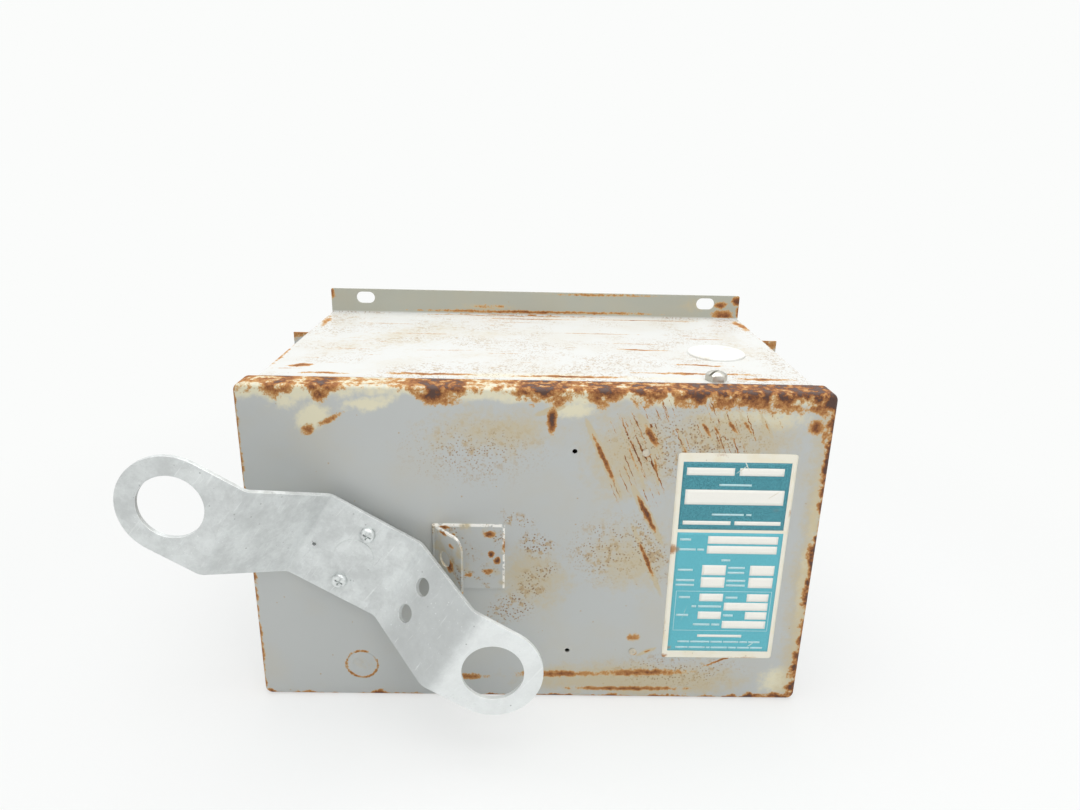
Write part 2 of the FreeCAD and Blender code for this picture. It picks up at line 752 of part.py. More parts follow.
def handle_hub():
    half_l, half_w = hub_length / 2, hub_width / 2
    hub = box(shaft_x - half_w, shaft_x + half_w, lever_back, lever_back + hub_thickness,
              shaft_z - half_l, shaft_z + half_l)
    hub = hub.makeFillet(half_w * 0.6, edges_along(hub, V(0, 1, 0)))
    holes = [bore_y(shaft_r + clip_gap / 2, shaft_x, shaft_z)]
    holes += [bore_y(screw_r + clip_gap / 2, shaft_x, z) for z in screw_heights()]
    return tilt(cut(hub, *holes))


def handle_shaft():
    """Shaft with a flat head that seats on the lever's face."""
    head_r, head_height = shaft_head
    head = rod_y(head_r, shaft_x, lever_front - head_height, lever_front, shaft_z)
    shaft = join(head, rod_y(shaft_r, shaft_x, lever_front, crank_y[1], shaft_z))
    grooved = (groove_y, groove_y + groove_width, shaft_z)
    groove = cut(rod_y(2 * shaft_r, shaft_x, *grooved), rod_y(shaft_r - groove_depth, shaft_x, *grooved))
    return cut(shaft, groove)


def shaft_bushing():
    collar_reach, collar = bushing_lip
    nut_reach, nut = bushing_nut
    tube = rod_y(bushing_r - clip_gap, shaft_x, front - collar, front + bushing_inside, shaft_z)
    return cut(join(tube, rod_y(bushing_r + collar_reach, shaft_x, front - collar, front, shaft_z),
                    rod_y(bushing_r + nut_reach, shaft_x, front + sheet, front + sheet + nut, shaft_z)),
               bore_y(shaft_r + running_fit, shaft_x, shaft_z))


def shaft_retainer():
    """Split ring in the shaft's groove, holding a washer against the bushing."""
    y0, y1 = groove_y + clip_gap, groove_y + groove_width - clip_gap
    half = retainer_mouth / 2
    return cut(rod_y(shaft_r + retainer_reach, shaft_x, y0, y1, shaft_z),
               bore_y(shaft_r - groove_depth + clip_gap, shaft_x, shaft_z),
               box(shaft_x - half, shaft_x + half, y0, y1, shaft_z - 2 * shaft_r, shaft_z))


def shaft_washer():
    y0 = front + bushing_inside + washer_gap
    return cut(rod_y(shaft_r + washer_reach, shaft_x, y0, groove_y - washer_gap, shaft_z),
               bore_y(shaft_r + clip_gap, shaft_x, shaft_z))


# ---------------------------------------------------------------- drive train
def crank_place(angle):
    """Crank pin's centre, angle above the horizontal on the left of the shaft."""
    return shaft_x - crank_radius * math.cos(angle), shaft_z + crank_radius * math.sin(angle)


def handle_crank():
    x, z = crank_place(half_crank)
    end_r = crank_pin_r + crank_margin
    arm = Part.makeBox(crank_radius, crank_thickness, 2 * end_r, V(-crank_radius, crank_y[0], -end_r))
    arm.rotate(V(0, 0, 0), V(0, 1, 0), math.degrees(half_crank))
    arm.translate(V(shaft_x, 0, shaft_z))
    hub = rod_y(shaft_r + crank_hub_margin, shaft_x, *crank_y, shaft_z)
    return cut(join(arm, hub, rod_y(end_r, x, *crank_y, z)),
               bore_y(shaft_r + clip_gap / 2, shaft_x, shaft_z), bore_y(crank_pin_r + clip_gap / 2, x, z))


def crank_pin():
    x, z = crank_place(half_crank)
    head_y = crank_y[0] - crank_pin_head
    return join(rod_y(crank_pin_r + crank_pin_head, x, head_y, crank_y[0], z),
                rod_y(crank_pin_r, x, head_y, slide_y[1] + slide_thickness, z))


def arm_place(angle):
    """Drive pin's centre, angle above the horizontal in front of the blades' pivot."""
    return pivot[0] - arm_radius * math.cos(angle), pivot[1] + arm_radius * math.sin(angle)


def slot_through_slide(r, x0, x1, z0, z1):
    """Round-ended slot through the slide, between two centres."""
    ends = [bore_y(r, x0, z0), bore_y(r, x1, z1)]
    if x0 == x1:
        return join(box(x0 - r, x0 + r, -drill, drill, z0, z1), *ends)
    return join(box(x0, x1, -drill, drill, z0 - r, z0 + r), *ends)


def drive_slide():
    """Vertical slide: a level slot takes the crank pin, a side tab takes the drive pin."""
    x0, x1 = slide_x
    y0, y1 = slide_y
    tab_x = x1 - slide_thickness
    arm_y = (pivot[0] - arm_radius - arm_slot_play, arm_place(half_blade)[0] + arm_slot_play)
    tab_end = arm_place(half_blade)[0] + drive_pin_r + drive_tab_margin
    foot_half, foot_front, foot_back = slide_foot
    body = join(box(x0, x1, y0, y1, *slide_z),
                box(tab_x, x1, y0, tab_end, drive_tab_z - drive_tab_half, drive_tab_z + drive_tab_half),
                box(stud_x - foot_half, stud_x + foot_half, y0 - foot_front, y1 + foot_back,
                    slide_z[0], slide_z[0] + slide_thickness))
    pin_x, pin_z = crank_place(half_crank)
    pin_far = crank_place(0)[0]
    crank_slot = slot_through_slide(crank_pin_r + slide_slot_gap, pin_far - crank_slot_play,
                                    pin_x + crank_slot_play, pin_z, pin_z)
    arm_slot = link_x((arm_y[0], drive_tab_z), (arm_y[1], drive_tab_z), drive_pin_r + arm_slot_gap,
                      tab_x - slide_thickness, x1 + slide_thickness)
    guides = [slot_through_slide(stud_r + slide_slot_gap, stud_x, stud_x, z, z + slide_travel)
              for z in stud_z]
    return cut(body, crank_slot, arm_slot, *guides)


def guide_studs():
    y0, y1 = slide_y[0] - slide_side_gap, slide_y[1] + slide_side_gap
    return compound([join(rod_y(stud_head_r, stud_x, y0 - stud_head, y0, z), rod_y(stud_r, stud_x, y0, y1, z),
                          rod_y(stud_head_r, stud_x, y1, bracket_face, z)) for z in stud_z])


def slide_bracket():
    """Angle on the left wall that carries the guide studs and the spring's seat."""
    inner = sheet - half_body
    top = slide_z[1] + bracket_above_slide
    edge = slide_x[1] - slide_thickness - bracket_clear
    back = bracket_face + mount_sheet
    return join(box(inner, edge, bracket_face, back, spring_seat_z, top),
                box(inner, inner + mount_sheet, bracket_face, bracket_face + bracket_wall_depth,
                    spring_seat_z, top),
                box(stud_x - seat_half, stud_x + seat_half, slide_y[0] - seat_front, back,
                    spring_seat_z - mount_sheet, spring_seat_z))


def drive_spring():
    """Compression spring between the seat and the slide's foot, ends left open."""
    y = (slide_y[0] + slide_y[1]) / 2 - slide_side_gap
    height = slide_z[0] - spring_seat_z - 2 * spring_wire_r - 2 * spring_end_gap
    helix = Part.makeHelix(height / spring_turns, height, spring_r)
    ring = Part.Wire(Part.makeCircle(spring_wire_r, V(spring_r, 0, 0), V(0, 1, 0)))
    coil = Part.Wire(helix).makePipeShell([ring], True, True)
    coil.translate(V(stud_x, y, spring_seat_z + spring_wire_r + spring_end_gap))
    return coil


def bell_crank():
    """Plate that turns on the pivot pin and joins the drive pin to the crossbar."""
    pin = arm_place(half_blade)
    return cut(join(rod_x(pivot_pin_r + bell_hub_margin, *bell_x, *pivot),
                    link_x(pivot, pin, drive_pin_r + bell_margin, *bell_x),
                    link_x(pivot, crossbar_place, crossbar_size / 2, *bell_x)),
               bore_x(pivot_pin_r + running_fit, *pivot), bore_x(drive_pin_r + clip_gap / 2, *pin))


def drive_pin():
    x0 = slide_x[1] - slide_thickness - drive_pin_overhang
    return rod_x(drive_pin_r, x0, bell_x[1], *arm_place(half_blade))


def pivot_bracket():
    x0, x1 = pivot_bracket_x
    z0, z1 = pivot[1] - pivot_bracket_half, pivot[1] + pivot_bracket_half
    plate = box(x0, x1, pivot[0] - pivot_bracket_front, rear_panel_front, z0, z1)
    foot = box(x0, x1 + pivot_bracket_foot, rear_panel_front - mount_sheet, rear_panel_front, z0, z1)
    return cut(join(plate, foot), bore_x(pivot_pin_r + clip_gap / 2, *pivot))


def pivot_pin():
    """Pin riveted in its bracket, with a shoulder that spaces the bell crank."""
    x0, x1 = bell_x[0] - pivot_pin_end[0], pivot_bracket_x[1] + pivot_pin_end[1]
    shoulder_r = pivot_pin_r + pivot_pin_shoulder
    return join(rod_x(pivot_pin_r, x0, x1, *pivot),
                rod_x(shoulder_r, bell_x[1] + slide_side_gap, pivot_bracket_x[0], *pivot))


def crossbar():
    half = crossbar_size / 2
    y, z = crossbar_place
    bar = box(bell_x[1], poles[2] + terminal_width, y - half, y + half, z - half, z + half)
    return bar.makeFillet(crossbar_corner_r, edges_along(bar, V(1, 0, 0)))


def switch_blade(x):
    """Flat blade on its hinge pin, its front edge against the crossbar."""
    half_t, half_w = blade_thickness / 2, blade_width / 2
    y, z = pivot
    tail_z = z - blade_tail + half_w
    blade = box(x - half_t, x + half_t, y - half_w, y + half_w, tail_z, z + blade_length)
    tip = edges_along(blade, V(1, 0, 0), lambda p: p.z > z + blade_length - half_w)
    blade = blade.makeFillet(half_w * 0.45, tip)
    tail = rod_x(half_w, x - half_t, x + half_t, y, tail_z)
    return cut(join(blade, tail), bore_x(blade_pin_r + running_fit, *pivot))


def blade_hinge_pins():
    reach = blade_thickness / 2 + contact_gap + jaw_leaf
    head_r, head = blade_pin_r + blade_head[0], blade_head[1]
    return compound([join(rod_x(blade_pin_r, x - reach, x + reach, *pivot),
                          rod_x(head_r, x - reach - head, x - reach, *pivot),
                          rod_x(head_r, x + reach, x + reach + head, *pivot)) for x in poles])


# ---------------------------------------------------------------- switch base and contacts
def jaw(x, z0, z1, plate_z0, plate_z1, face_y):
    """Two contact leaves standing on a terminal plate."""
    inner = blade_thickness / 2 + contact_gap
    half = terminal_width / 2
    return join(box(x - half, x + half, terminal_y, base_y, plate_z0, plate_z1),
                box(x - inner - jaw_leaf, x - inner, face_y, base_y, z0, z1),
                box(x + inner, x + inner + jaw_leaf, face_y, base_y, z0, z1))


def line_jaws():
    leg = jaw_leg / 2
    jaws = []
    for x in poles:
        top = jaw(x, *line_jaw_z, line_jaw_z[0] - jaw_plate[0], line_jaw_z[1] + jaw_plate[1],
                  pivot[0] - blade_width / 2)
        jaws.append(join(top, box(x - leg, x + leg, base_y, base_back - strap_thickness,
                                  line_jaw_mid - leg, line_jaw_mid + leg)))
    return compound(jaws)


def hinge_jaws():
    """Hinge ears of each blade on the plate that also feeds the upper fuse clip."""
    z = pivot[1]
    return compound([cut(jaw(x, z - hinge_jaw_half, z + hinge_jaw_half, upper_clip_z - ferrule_end,
                             z + hinge_plate_above, pivot[0] - hinge_jaw_reach),
                         rod_x(blade_pin_r + clip_gap / 2, x - terminal_width, x + terminal_width, *pivot))
                     for x in poles])


def fuse_clips():
    """Open spring rings that grip both ferrules of each fuse."""
    inner = ferrule_r + clip_gap
    outer = inner + clip_thickness
    mouth = inner * clip_mouth
    foot_half, foot_thick = clip_foot
    clips = []
    for x in poles:
        for z in (upper_clip_z, lower_clip_z):
            top = z + clip_height
            ring = cut(rod_z(outer, x, fuse_y, z, top), bore_z(inner, x, fuse_y),
                       box(x - mouth, x + mouth, fuse_y - 2 * outer, fuse_y - inner * 0.3, z, top))
            foot = box(x - foot_half, x + foot_half, terminal_y - foot_thick, terminal_y, z, top)
            clips.append(join(ring, cut(foot, bore_z(inner + clip_thickness / 2, x, fuse_y))))
    return compound(clips)


def fuse_tube(x):
    low, high = fuse_bottom_z + ferrule_end, fuse_bottom_z + fuse_length - ferrule_end
    return rod_z(fuse_tube_r, x, fuse_y, low, high)


def fuse_ferrules():
    low, high = fuse_bottom_z, fuse_bottom_z + fuse_length
    caps = []
    for x in poles:
        room = rod_z(fuse_tube_r + clip_gap / 2, x, fuse_y, low + ferrule_end, high - ferrule_end)
        for z0, z1 in ((low, low + ferrule_length), (high - ferrule_length, high)):
            caps.append(cut(rod_z(ferrule_r, x, fuse_y, z0, z1), room))
    return compound(caps)


def load_lugs():
    """Lower fuse clip's plate with a wire lug at its foot."""
    half = terminal_width / 2
    lug_front = terminal_y - lug_depth
    lugs = []
    for x in poles:
        plate = box(x - half, x + half, terminal_y, base_y, lug_z - lug_plate_margin,
                    lower_clip_z + clip_height + lug_plate_margin)
        block = box(x - half, x + half, lug_front, terminal_y, lug_z, lug_z + lug_height)
        screw_hole = rod_y(lug_screw_r + clip_gap, x, lug_front - lug_screw_proud, terminal_y - wire_hole_in,
                           lug_z + lug_height / 2)
        lugs.append(cut(join(plate, block), bore_z(wire_hole_r, x, terminal_y - wire_hole_in), screw_hole))
    return compound(lugs)


def lug_screws():
    depth, width = lug_screw_slot
    y0 = terminal_y - lug_depth - lug_screw_proud
    y1 = terminal_y - wire_hole_in - wire_hole_r - slide_side_gap
    z = lug_z + lug_height / 2
    return compound([cut(rod_y(lug_screw_r, x, y0, y1, z),
                         box(x - 2 * lug_screw_r, x + 2 * lug_screw_r, y0, y0 + depth,
                             z - width / 2, z + width / 2)) for x in poles])


def switch_base():
    """Moulded insulating base that carries all the contacts."""
    leg = jaw_leg / 2 + moulding_gap
    half = stab_width / 2 + moulding_gap
    tools = []
    for x, z in zip(poles, stab_z):
        tools += [box(x - leg, x + leg, -drill, drill, line_jaw_mid - leg, line_jaw_mid + leg),
                  box(x - half, x + half, base_back - strap_thickness, drill,
                      z - stab_stem - moulding_gap, line_jaw_mid + jaw_leg + moulding_gap)]
    return cut(box(base_x0, base_x1, base_y, base_back, *base_z), *tools, *base_screw_bores())


def base_screws():
    head_r, head = base_screw_head
    nut_r, nut = base_screw_nut
    depth, width = base_screw_slot
    y0 = base_y - head
    screws = []
    for x, z in base_screw_places():
        screw = join(rod_y(head_r, x, y0, base_y, z), rod_y(nut_r, x, rear, rear + nut, z),
                     rod_y(base_screw_r, x, y0, rear + nut + base_screw_end, z))
        screws.append(cut(screw, box(x - 2 * head_r, x + 2 * head_r, y0, y0 + depth,
                                     z - width / 2, z + width / 2)))
    return compound(screws)


def arc_chutes():
    """Insulating hoods over the line jaws, open to the front and below."""
    inner = terminal_width / 2 + chute_gap
    outer = inner + chute_wall
    y0 = pivot[0] - chute_reach
    z0, z1 = base_z[1] - chute_height, base_z[1]
    return compound([cut(box(x - outer, x + outer, y0, base_y, z0, z1),
                         box(x - inner, x + inner, y0, base_y, z0, z1 - chute_wall)) for x in poles])


def phase_barriers():
    half = barrier_thickness / 2
    top = upper_clip_z + clip_height + barrier_above_clip
    return compound([box(x - half, x + half, pivot[0] - barrier_reach, base_y, base_z[0], top)
                     for x in ((poles[0] + poles[1]) / 2, (poles[1] + poles[2]) / 2)])


# ---------------------------------------------------------------- busway side
def stab_base():
    """Moulding behind the switch base: a boss through the rear panel and fingers beside each stab."""
    x0, x1, z0, z1 = stab_window
    shapes = [box(base_x0, base_x1, base_back, rear_panel_front, *base_z),
              box(x0 + window_gap, x1 - window_gap, base_back, rear + boss_reach,
                  z0 + window_gap, z1 - window_gap)]
    tools = []
    half = stab_width / 2 + finger_margin
    slot = stab_width / 2 + clip_gap
    for x, z in zip(poles, stab_z):
        for low in (z - stab_stem - finger_gap - finger_thickness, z + stab_stem + finger_gap):
            shapes.append(box(x - half, x + half, rear, rear + finger_reach, low, low + finger_thickness))
        tools.append(box(x - slot, x + slot, -drill, drill,
                         z - stab_stem - clip_gap, z + stab_stem + clip_gap))
    return cut(join(*shapes), *tools, *base_screw_bores())


def bus_stab(x, z):
    """Strap from the line jaw down to a forked contact that grips a horizontal bar."""
    half = stab_width / 2
    strap_y = base_back - strap_thickness
    tip = rear + stab_reach
    fork = box(x - half, x + half, strap_y, tip, z - stab_stem, z + stab_stem)
    fork = fork.makeFillet(stab_leaf * 0.6, edges_along(fork, V(1, 0, 0), lambda p: p.y > tip - stab_leaf))
    gap = box(x - stab_width, x + stab_width, rear + boss_reach + fork_root, tip,
              z - stab_gap / 2, z + stab_gap / 2)
    strap = box(x - half, x + half, strap_y, base_back, z - stab_stem, line_jaw_mid + jaw_leg)
    return cut(join(strap, fork), gap)


def ground_stab():
    """Bare strap from the rear panel that meets the busway's housing before the phases."""
    x0, x1 = pole_centre_x - ground_half, pole_centre_x + ground_half
    z = stab_z[-1] - ground_drop
    rivet_r, rivet_height, rivet_rise = ground_rivet
    return join(box(x0, x1, rear, rear + mount_sheet, z - ground_half, z + ground_foot_rise),
                box(x0, x1, rear, rear + ground_reach, z - ground_half, z - ground_half + mount_sheet),
                rod_y(rivet_r, pole_centre_x, rear, rear + mount_sheet + rivet_height, z + rivet_rise))


def ground_lug():
    """Bonding lug on the floor of the wiring space."""
    x = half_body - ground_lug_inset
    y0 = rear_panel_front - ground_lug_setback
    y = y0 + ground_lug_depth / 2
    top = sheet + ground_lug_height
    depth, width = lug_screw_slot
    block = box(x - ground_lug_half, x + ground_lug_half, y0, y0 + ground_lug_depth, sheet, top)
    screw = rod_z(lug_screw_r, x, y, top - lug_screw_r, top + lug_screw_proud)
    return cut(join(block, screw), rod_x(wire_hole_r, x - 2 * ground_lug_half, x + 2 * ground_lug_half, y,
                                         sheet + ground_wire_z),
               box(x - ground_lug_half, x + ground_lug_half, y - width / 2, y + width / 2,
                   top + lug_screw_proud - depth, top + 2 * lug_screw_proud))


def main():
    save("top_panel", top_panel())
    save("bottom_panel", bottom_panel())
    save("side_panel_left", side_panel(-1))
    save("side_panel_right", side_panel(1))
    save("rear_panel", rear_panel())
    save("hole_seal", hole_seal())
    save("cover_pan", cover_pan())
    save("cover_knockout", cover_knockout())
    save("rating_label", rating_label())
    save("nameplate_rivets", nameplate_rivets())
    save("padlock_bracket", padlock_bracket())
    save("cover_catch", cover_catch())
    leaf_body, leaf_cover, pins = hinge_parts()
    save("hinge_leaf_body", leaf_body)
    save("hinge_leaf_cover", leaf_cover)
    save("hinge_pins", pins)
    save("release_screw", release_screw())
    save("release_cam", release_cam())
    save("handle_lever", handle_lever())
    save("handle_screws", handle_screws())
    save("handle_hub", handle_hub())
    save("handle_shaft", handle_shaft())
    save("shaft_bushing", shaft_bushing())
    save("shaft_retainer", shaft_retainer())
    save("shaft_washer", shaft_washer())
    save("handle_crank", handle_crank())
    save("crank_pin", crank_pin())
    save("drive_slide", drive_slide())
    save("guide_studs", guide_studs())
    save("slide_bracket", slide_bracket())
    save("drive_spring", drive_spring())
    save("bell_crank", bell_crank())
    save("drive_pin", drive_pin())
    save("pivot_bracket", pivot_bracket())
    save("pivot_pin", pivot_pin())
    save("crossbar", crossbar())
    for number, x in enumerate(poles, 1):
        save("switch_blade_%d" % number, switch_blade(x))
        save("fuse_tube_%d" % number, fuse_tube(x))
        save("bus_stab_%d" % number, bus_stab(x, stab_z[number - 1]))
    save("blade_hinge_pins", blade_hinge_pins())
    save("line_jaws", line_jaws())
    save("hinge_jaws", hinge_jaws())
    save("fuse_clips", fuse_clips())
    save("fuse_ferrules", fuse_ferrules())
    save("load_lugs", load_lugs())
    save("lug_screws", lug_screws())
    save("switch_base", switch_base())
    save("base_screws", base_screws())
    save("arc_chutes", arc_chutes())
    save("phase_barriers", phase_barriers())
    save("stab_base", stab_base())
    save("ground_stab", ground_stab())
    save("ground_lug", ground_lug())


main()
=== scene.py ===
"""Visual model of a plug-in fusible disconnect switch, laid out as an add-on and run as a script."""
import json
import math

import bmesh
import bpy
import numpy as np
from bpy.props import FloatProperty, FloatVectorProperty, PointerProperty
from mathutils import Matrix, Vector

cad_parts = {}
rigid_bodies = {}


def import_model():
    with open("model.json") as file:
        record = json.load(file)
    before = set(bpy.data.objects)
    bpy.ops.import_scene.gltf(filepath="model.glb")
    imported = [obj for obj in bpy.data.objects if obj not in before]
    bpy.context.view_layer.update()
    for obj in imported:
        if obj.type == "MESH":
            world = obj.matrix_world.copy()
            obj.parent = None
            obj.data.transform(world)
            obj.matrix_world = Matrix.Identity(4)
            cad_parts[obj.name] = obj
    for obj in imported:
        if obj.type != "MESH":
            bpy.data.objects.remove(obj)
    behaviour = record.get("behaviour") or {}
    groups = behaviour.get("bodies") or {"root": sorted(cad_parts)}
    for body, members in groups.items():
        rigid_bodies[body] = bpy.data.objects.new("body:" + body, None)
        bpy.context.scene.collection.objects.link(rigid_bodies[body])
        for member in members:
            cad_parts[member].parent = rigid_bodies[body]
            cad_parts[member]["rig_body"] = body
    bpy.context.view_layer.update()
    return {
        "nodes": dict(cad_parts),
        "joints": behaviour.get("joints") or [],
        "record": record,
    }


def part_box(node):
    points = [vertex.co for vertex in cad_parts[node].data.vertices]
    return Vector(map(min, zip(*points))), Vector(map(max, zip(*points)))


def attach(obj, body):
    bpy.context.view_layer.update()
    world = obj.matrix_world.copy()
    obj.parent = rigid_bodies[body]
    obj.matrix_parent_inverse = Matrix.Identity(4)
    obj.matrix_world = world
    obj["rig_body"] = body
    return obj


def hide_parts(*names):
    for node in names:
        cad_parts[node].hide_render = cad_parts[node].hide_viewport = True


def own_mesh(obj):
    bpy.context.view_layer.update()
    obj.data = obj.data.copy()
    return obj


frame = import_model()

bl_info = {
    "name": "Disconnect Switch Finishes",
    "version": (1, 1, 0),
    "blender": (4, 5, 0),
    "location": "3D View > Sidebar > Disconnect",
    "description": "Builds the worn finishes, the rating plate and the studio of a plug-in disconnect switch",
    "category": "Object",
}

MM = 0.001
MERGE_WITHIN = 0.002 * MM
FLAT_WITHIN = math.radians(0.4)
SMOOTH_BELOW = math.radians(28)
BEVEL_ABOVE = math.radians(35)
LEVER_TILT = 31         # degrees that the lever's right arm hangs below level
FAR = 1e6               # radius of an oval that takes no part in its plane


def tone(red, green, blue):
    """Scene-linear colour of a display colour whose channels run from 0 to 255."""
    value = np.array([red, green, blue]) / 255
    linear = np.where(value <= 0.04045, value / 12.92, ((value + 0.055) / 1.055) ** 2.4)
    return tuple(float(v) for v in linear)


# ---------------------------------------------------------------- settings
def colour(name, text, red, green, blue):
    """Colour property whose default is a display colour with channels from 0 to 255."""
    return FloatVectorProperty(name=name, description=text, subtype="COLOR", size=3, min=0, max=1,
                               default=tone(red, green, blue))


class PaintSettings(bpy.types.PropertyGroup):
    enamel: colour("Enamel", "Grey enamel of the box", 186, 189, 187)
    # the box's enamel made paler as painted light, since the top is lit more strongly
    top_enamel_painted_light: colour("Top enamel", "Enamel of the top, paler as painted light", 214, 215, 212)
    # a yellowed copy of the box's enamel, made darker as painted shade on the less lit flange
    flange_enamel_painted_shade: colour("Flange enamel", "Yellowed enamel of the rear flange, darker as painted shade", 172, 173, 161)
    cream: colour("Cream film", "Yellowed film along worn edges", 226, 219, 188)
    tan: colour("Tan stain", "Thin stain over scuffed enamel", 194, 178, 140)
    rust_edge: colour("Rust edge", "Thinnest rust, where it fades out", 208, 184, 140)
    rust_orange: colour("Orange rust", "Fresh rust", 190, 142, 86)
    rust_brown: colour("Brown rust", "Older rust", 158, 104, 58)
    rust_dark: colour("Dark rust", "Thick old rust", 118, 72, 42)
    rust_black: colour("Black scale", "Hard scale in the worst spots", 74, 46, 34)
    speck_light: colour("Light specks", "Thin brown smudges", 176, 152, 116)
    speck_dark: colour("Dark specks", "Centres of the small specks", 134, 102, 70)
    edge_radius: FloatProperty(name="Edge radius", description="Softening of sheared sheet edges",
                               default=0.35 * MM, unit="LENGTH")


class MetalSettings(bpy.types.PropertyGroup):
    galvanised: colour("Galvanised steel", "Spangled zinc of the lever", 224, 228, 227)
    # bright spangles and scuffs, and also the painted highlight on the lever's bevelled edges and right eye
    galvanised_light: colour("Zinc flecks and highlights", "Bright spangles, and painted highlights on the lever", 244, 247, 246)
    zinc: colour("Zinc plate", "Bright plated small parts", 196, 194, 186)
    spring: colour("Spring steel", "Oiled dark wire", 92, 90, 88)
    copper: colour("Copper alloy", "Blades and jaws", 200, 128, 88)
    tin: colour("Tinned aluminium", "Lugs", 200, 201, 200)


class PlasticSettings(bpy.types.PropertyGroup):
    red: colour("Red phenolic", "Switch base and stab base", 110, 40, 30)
    black: colour("Black phenolic", "Arc chutes and crossbar", 34, 33, 33)
    fibre: colour("Fibre sheet", "Phase barriers", 104, 92, 80)
    tube: colour("Fuse tube", "Fuse bodies", 204, 184, 140)
    nylon: colour("Nylon", "Shaft bushing", 206, 200, 184)


class LabelSettings(bpy.types.PropertyGroup):
    film: colour("Film", "Cream film of the rating plate", 240, 236, 220)
    dark_ink: colour("Dark ink", "Upper printed block", 52, 142, 156)
    light_ink: colour("Light ink", "Lower printed block", 92, 184, 198)
    small_print: colour("Small print", "Bars in place of small lettering", 190, 226, 230)
    film_thickness: FloatProperty(name="Film thickness", description="Thickness of the plate's film",
                                  default=0.14 * MM, unit="LENGTH")
    lift: FloatProperty(name="Corner lift", description="How far the film's loose corners stand off",
                        default=0.22 * MM, unit="LENGTH")


class StageSettings(bpy.types.PropertyGroup):
    camera_place: FloatVectorProperty(name="Camera", description="Place of the camera", subtype="TRANSLATION",
                                      unit="LENGTH", default=(-0.0064, -0.5294, 0.3795))
    camera_turn: FloatVectorProperty(name="Camera turn",
                                     description="Pan, tilt below level and roll, in degrees",
                                     default=(-1.013, 18.78, 1.325))
    camera_lens: FloatProperty(name="Lens", description="Focal length in millimetres on a 36 mm sensor",
                               default=25.747, min=1)
    overhead: FloatProperty(name="Overhead light", description="Power of the light above, in watts",
                            default=15.0)
    front: FloatProperty(name="Front light", description="Power of the light beside the camera, in watts",
                         default=6.5)
    ambient: FloatProperty(name="Ambient", description="Strength of the room's light on surfaces",
                           default=0.40)
    backdrop: colour("Backdrop", "Pale wall behind the object", 251, 252, 251)


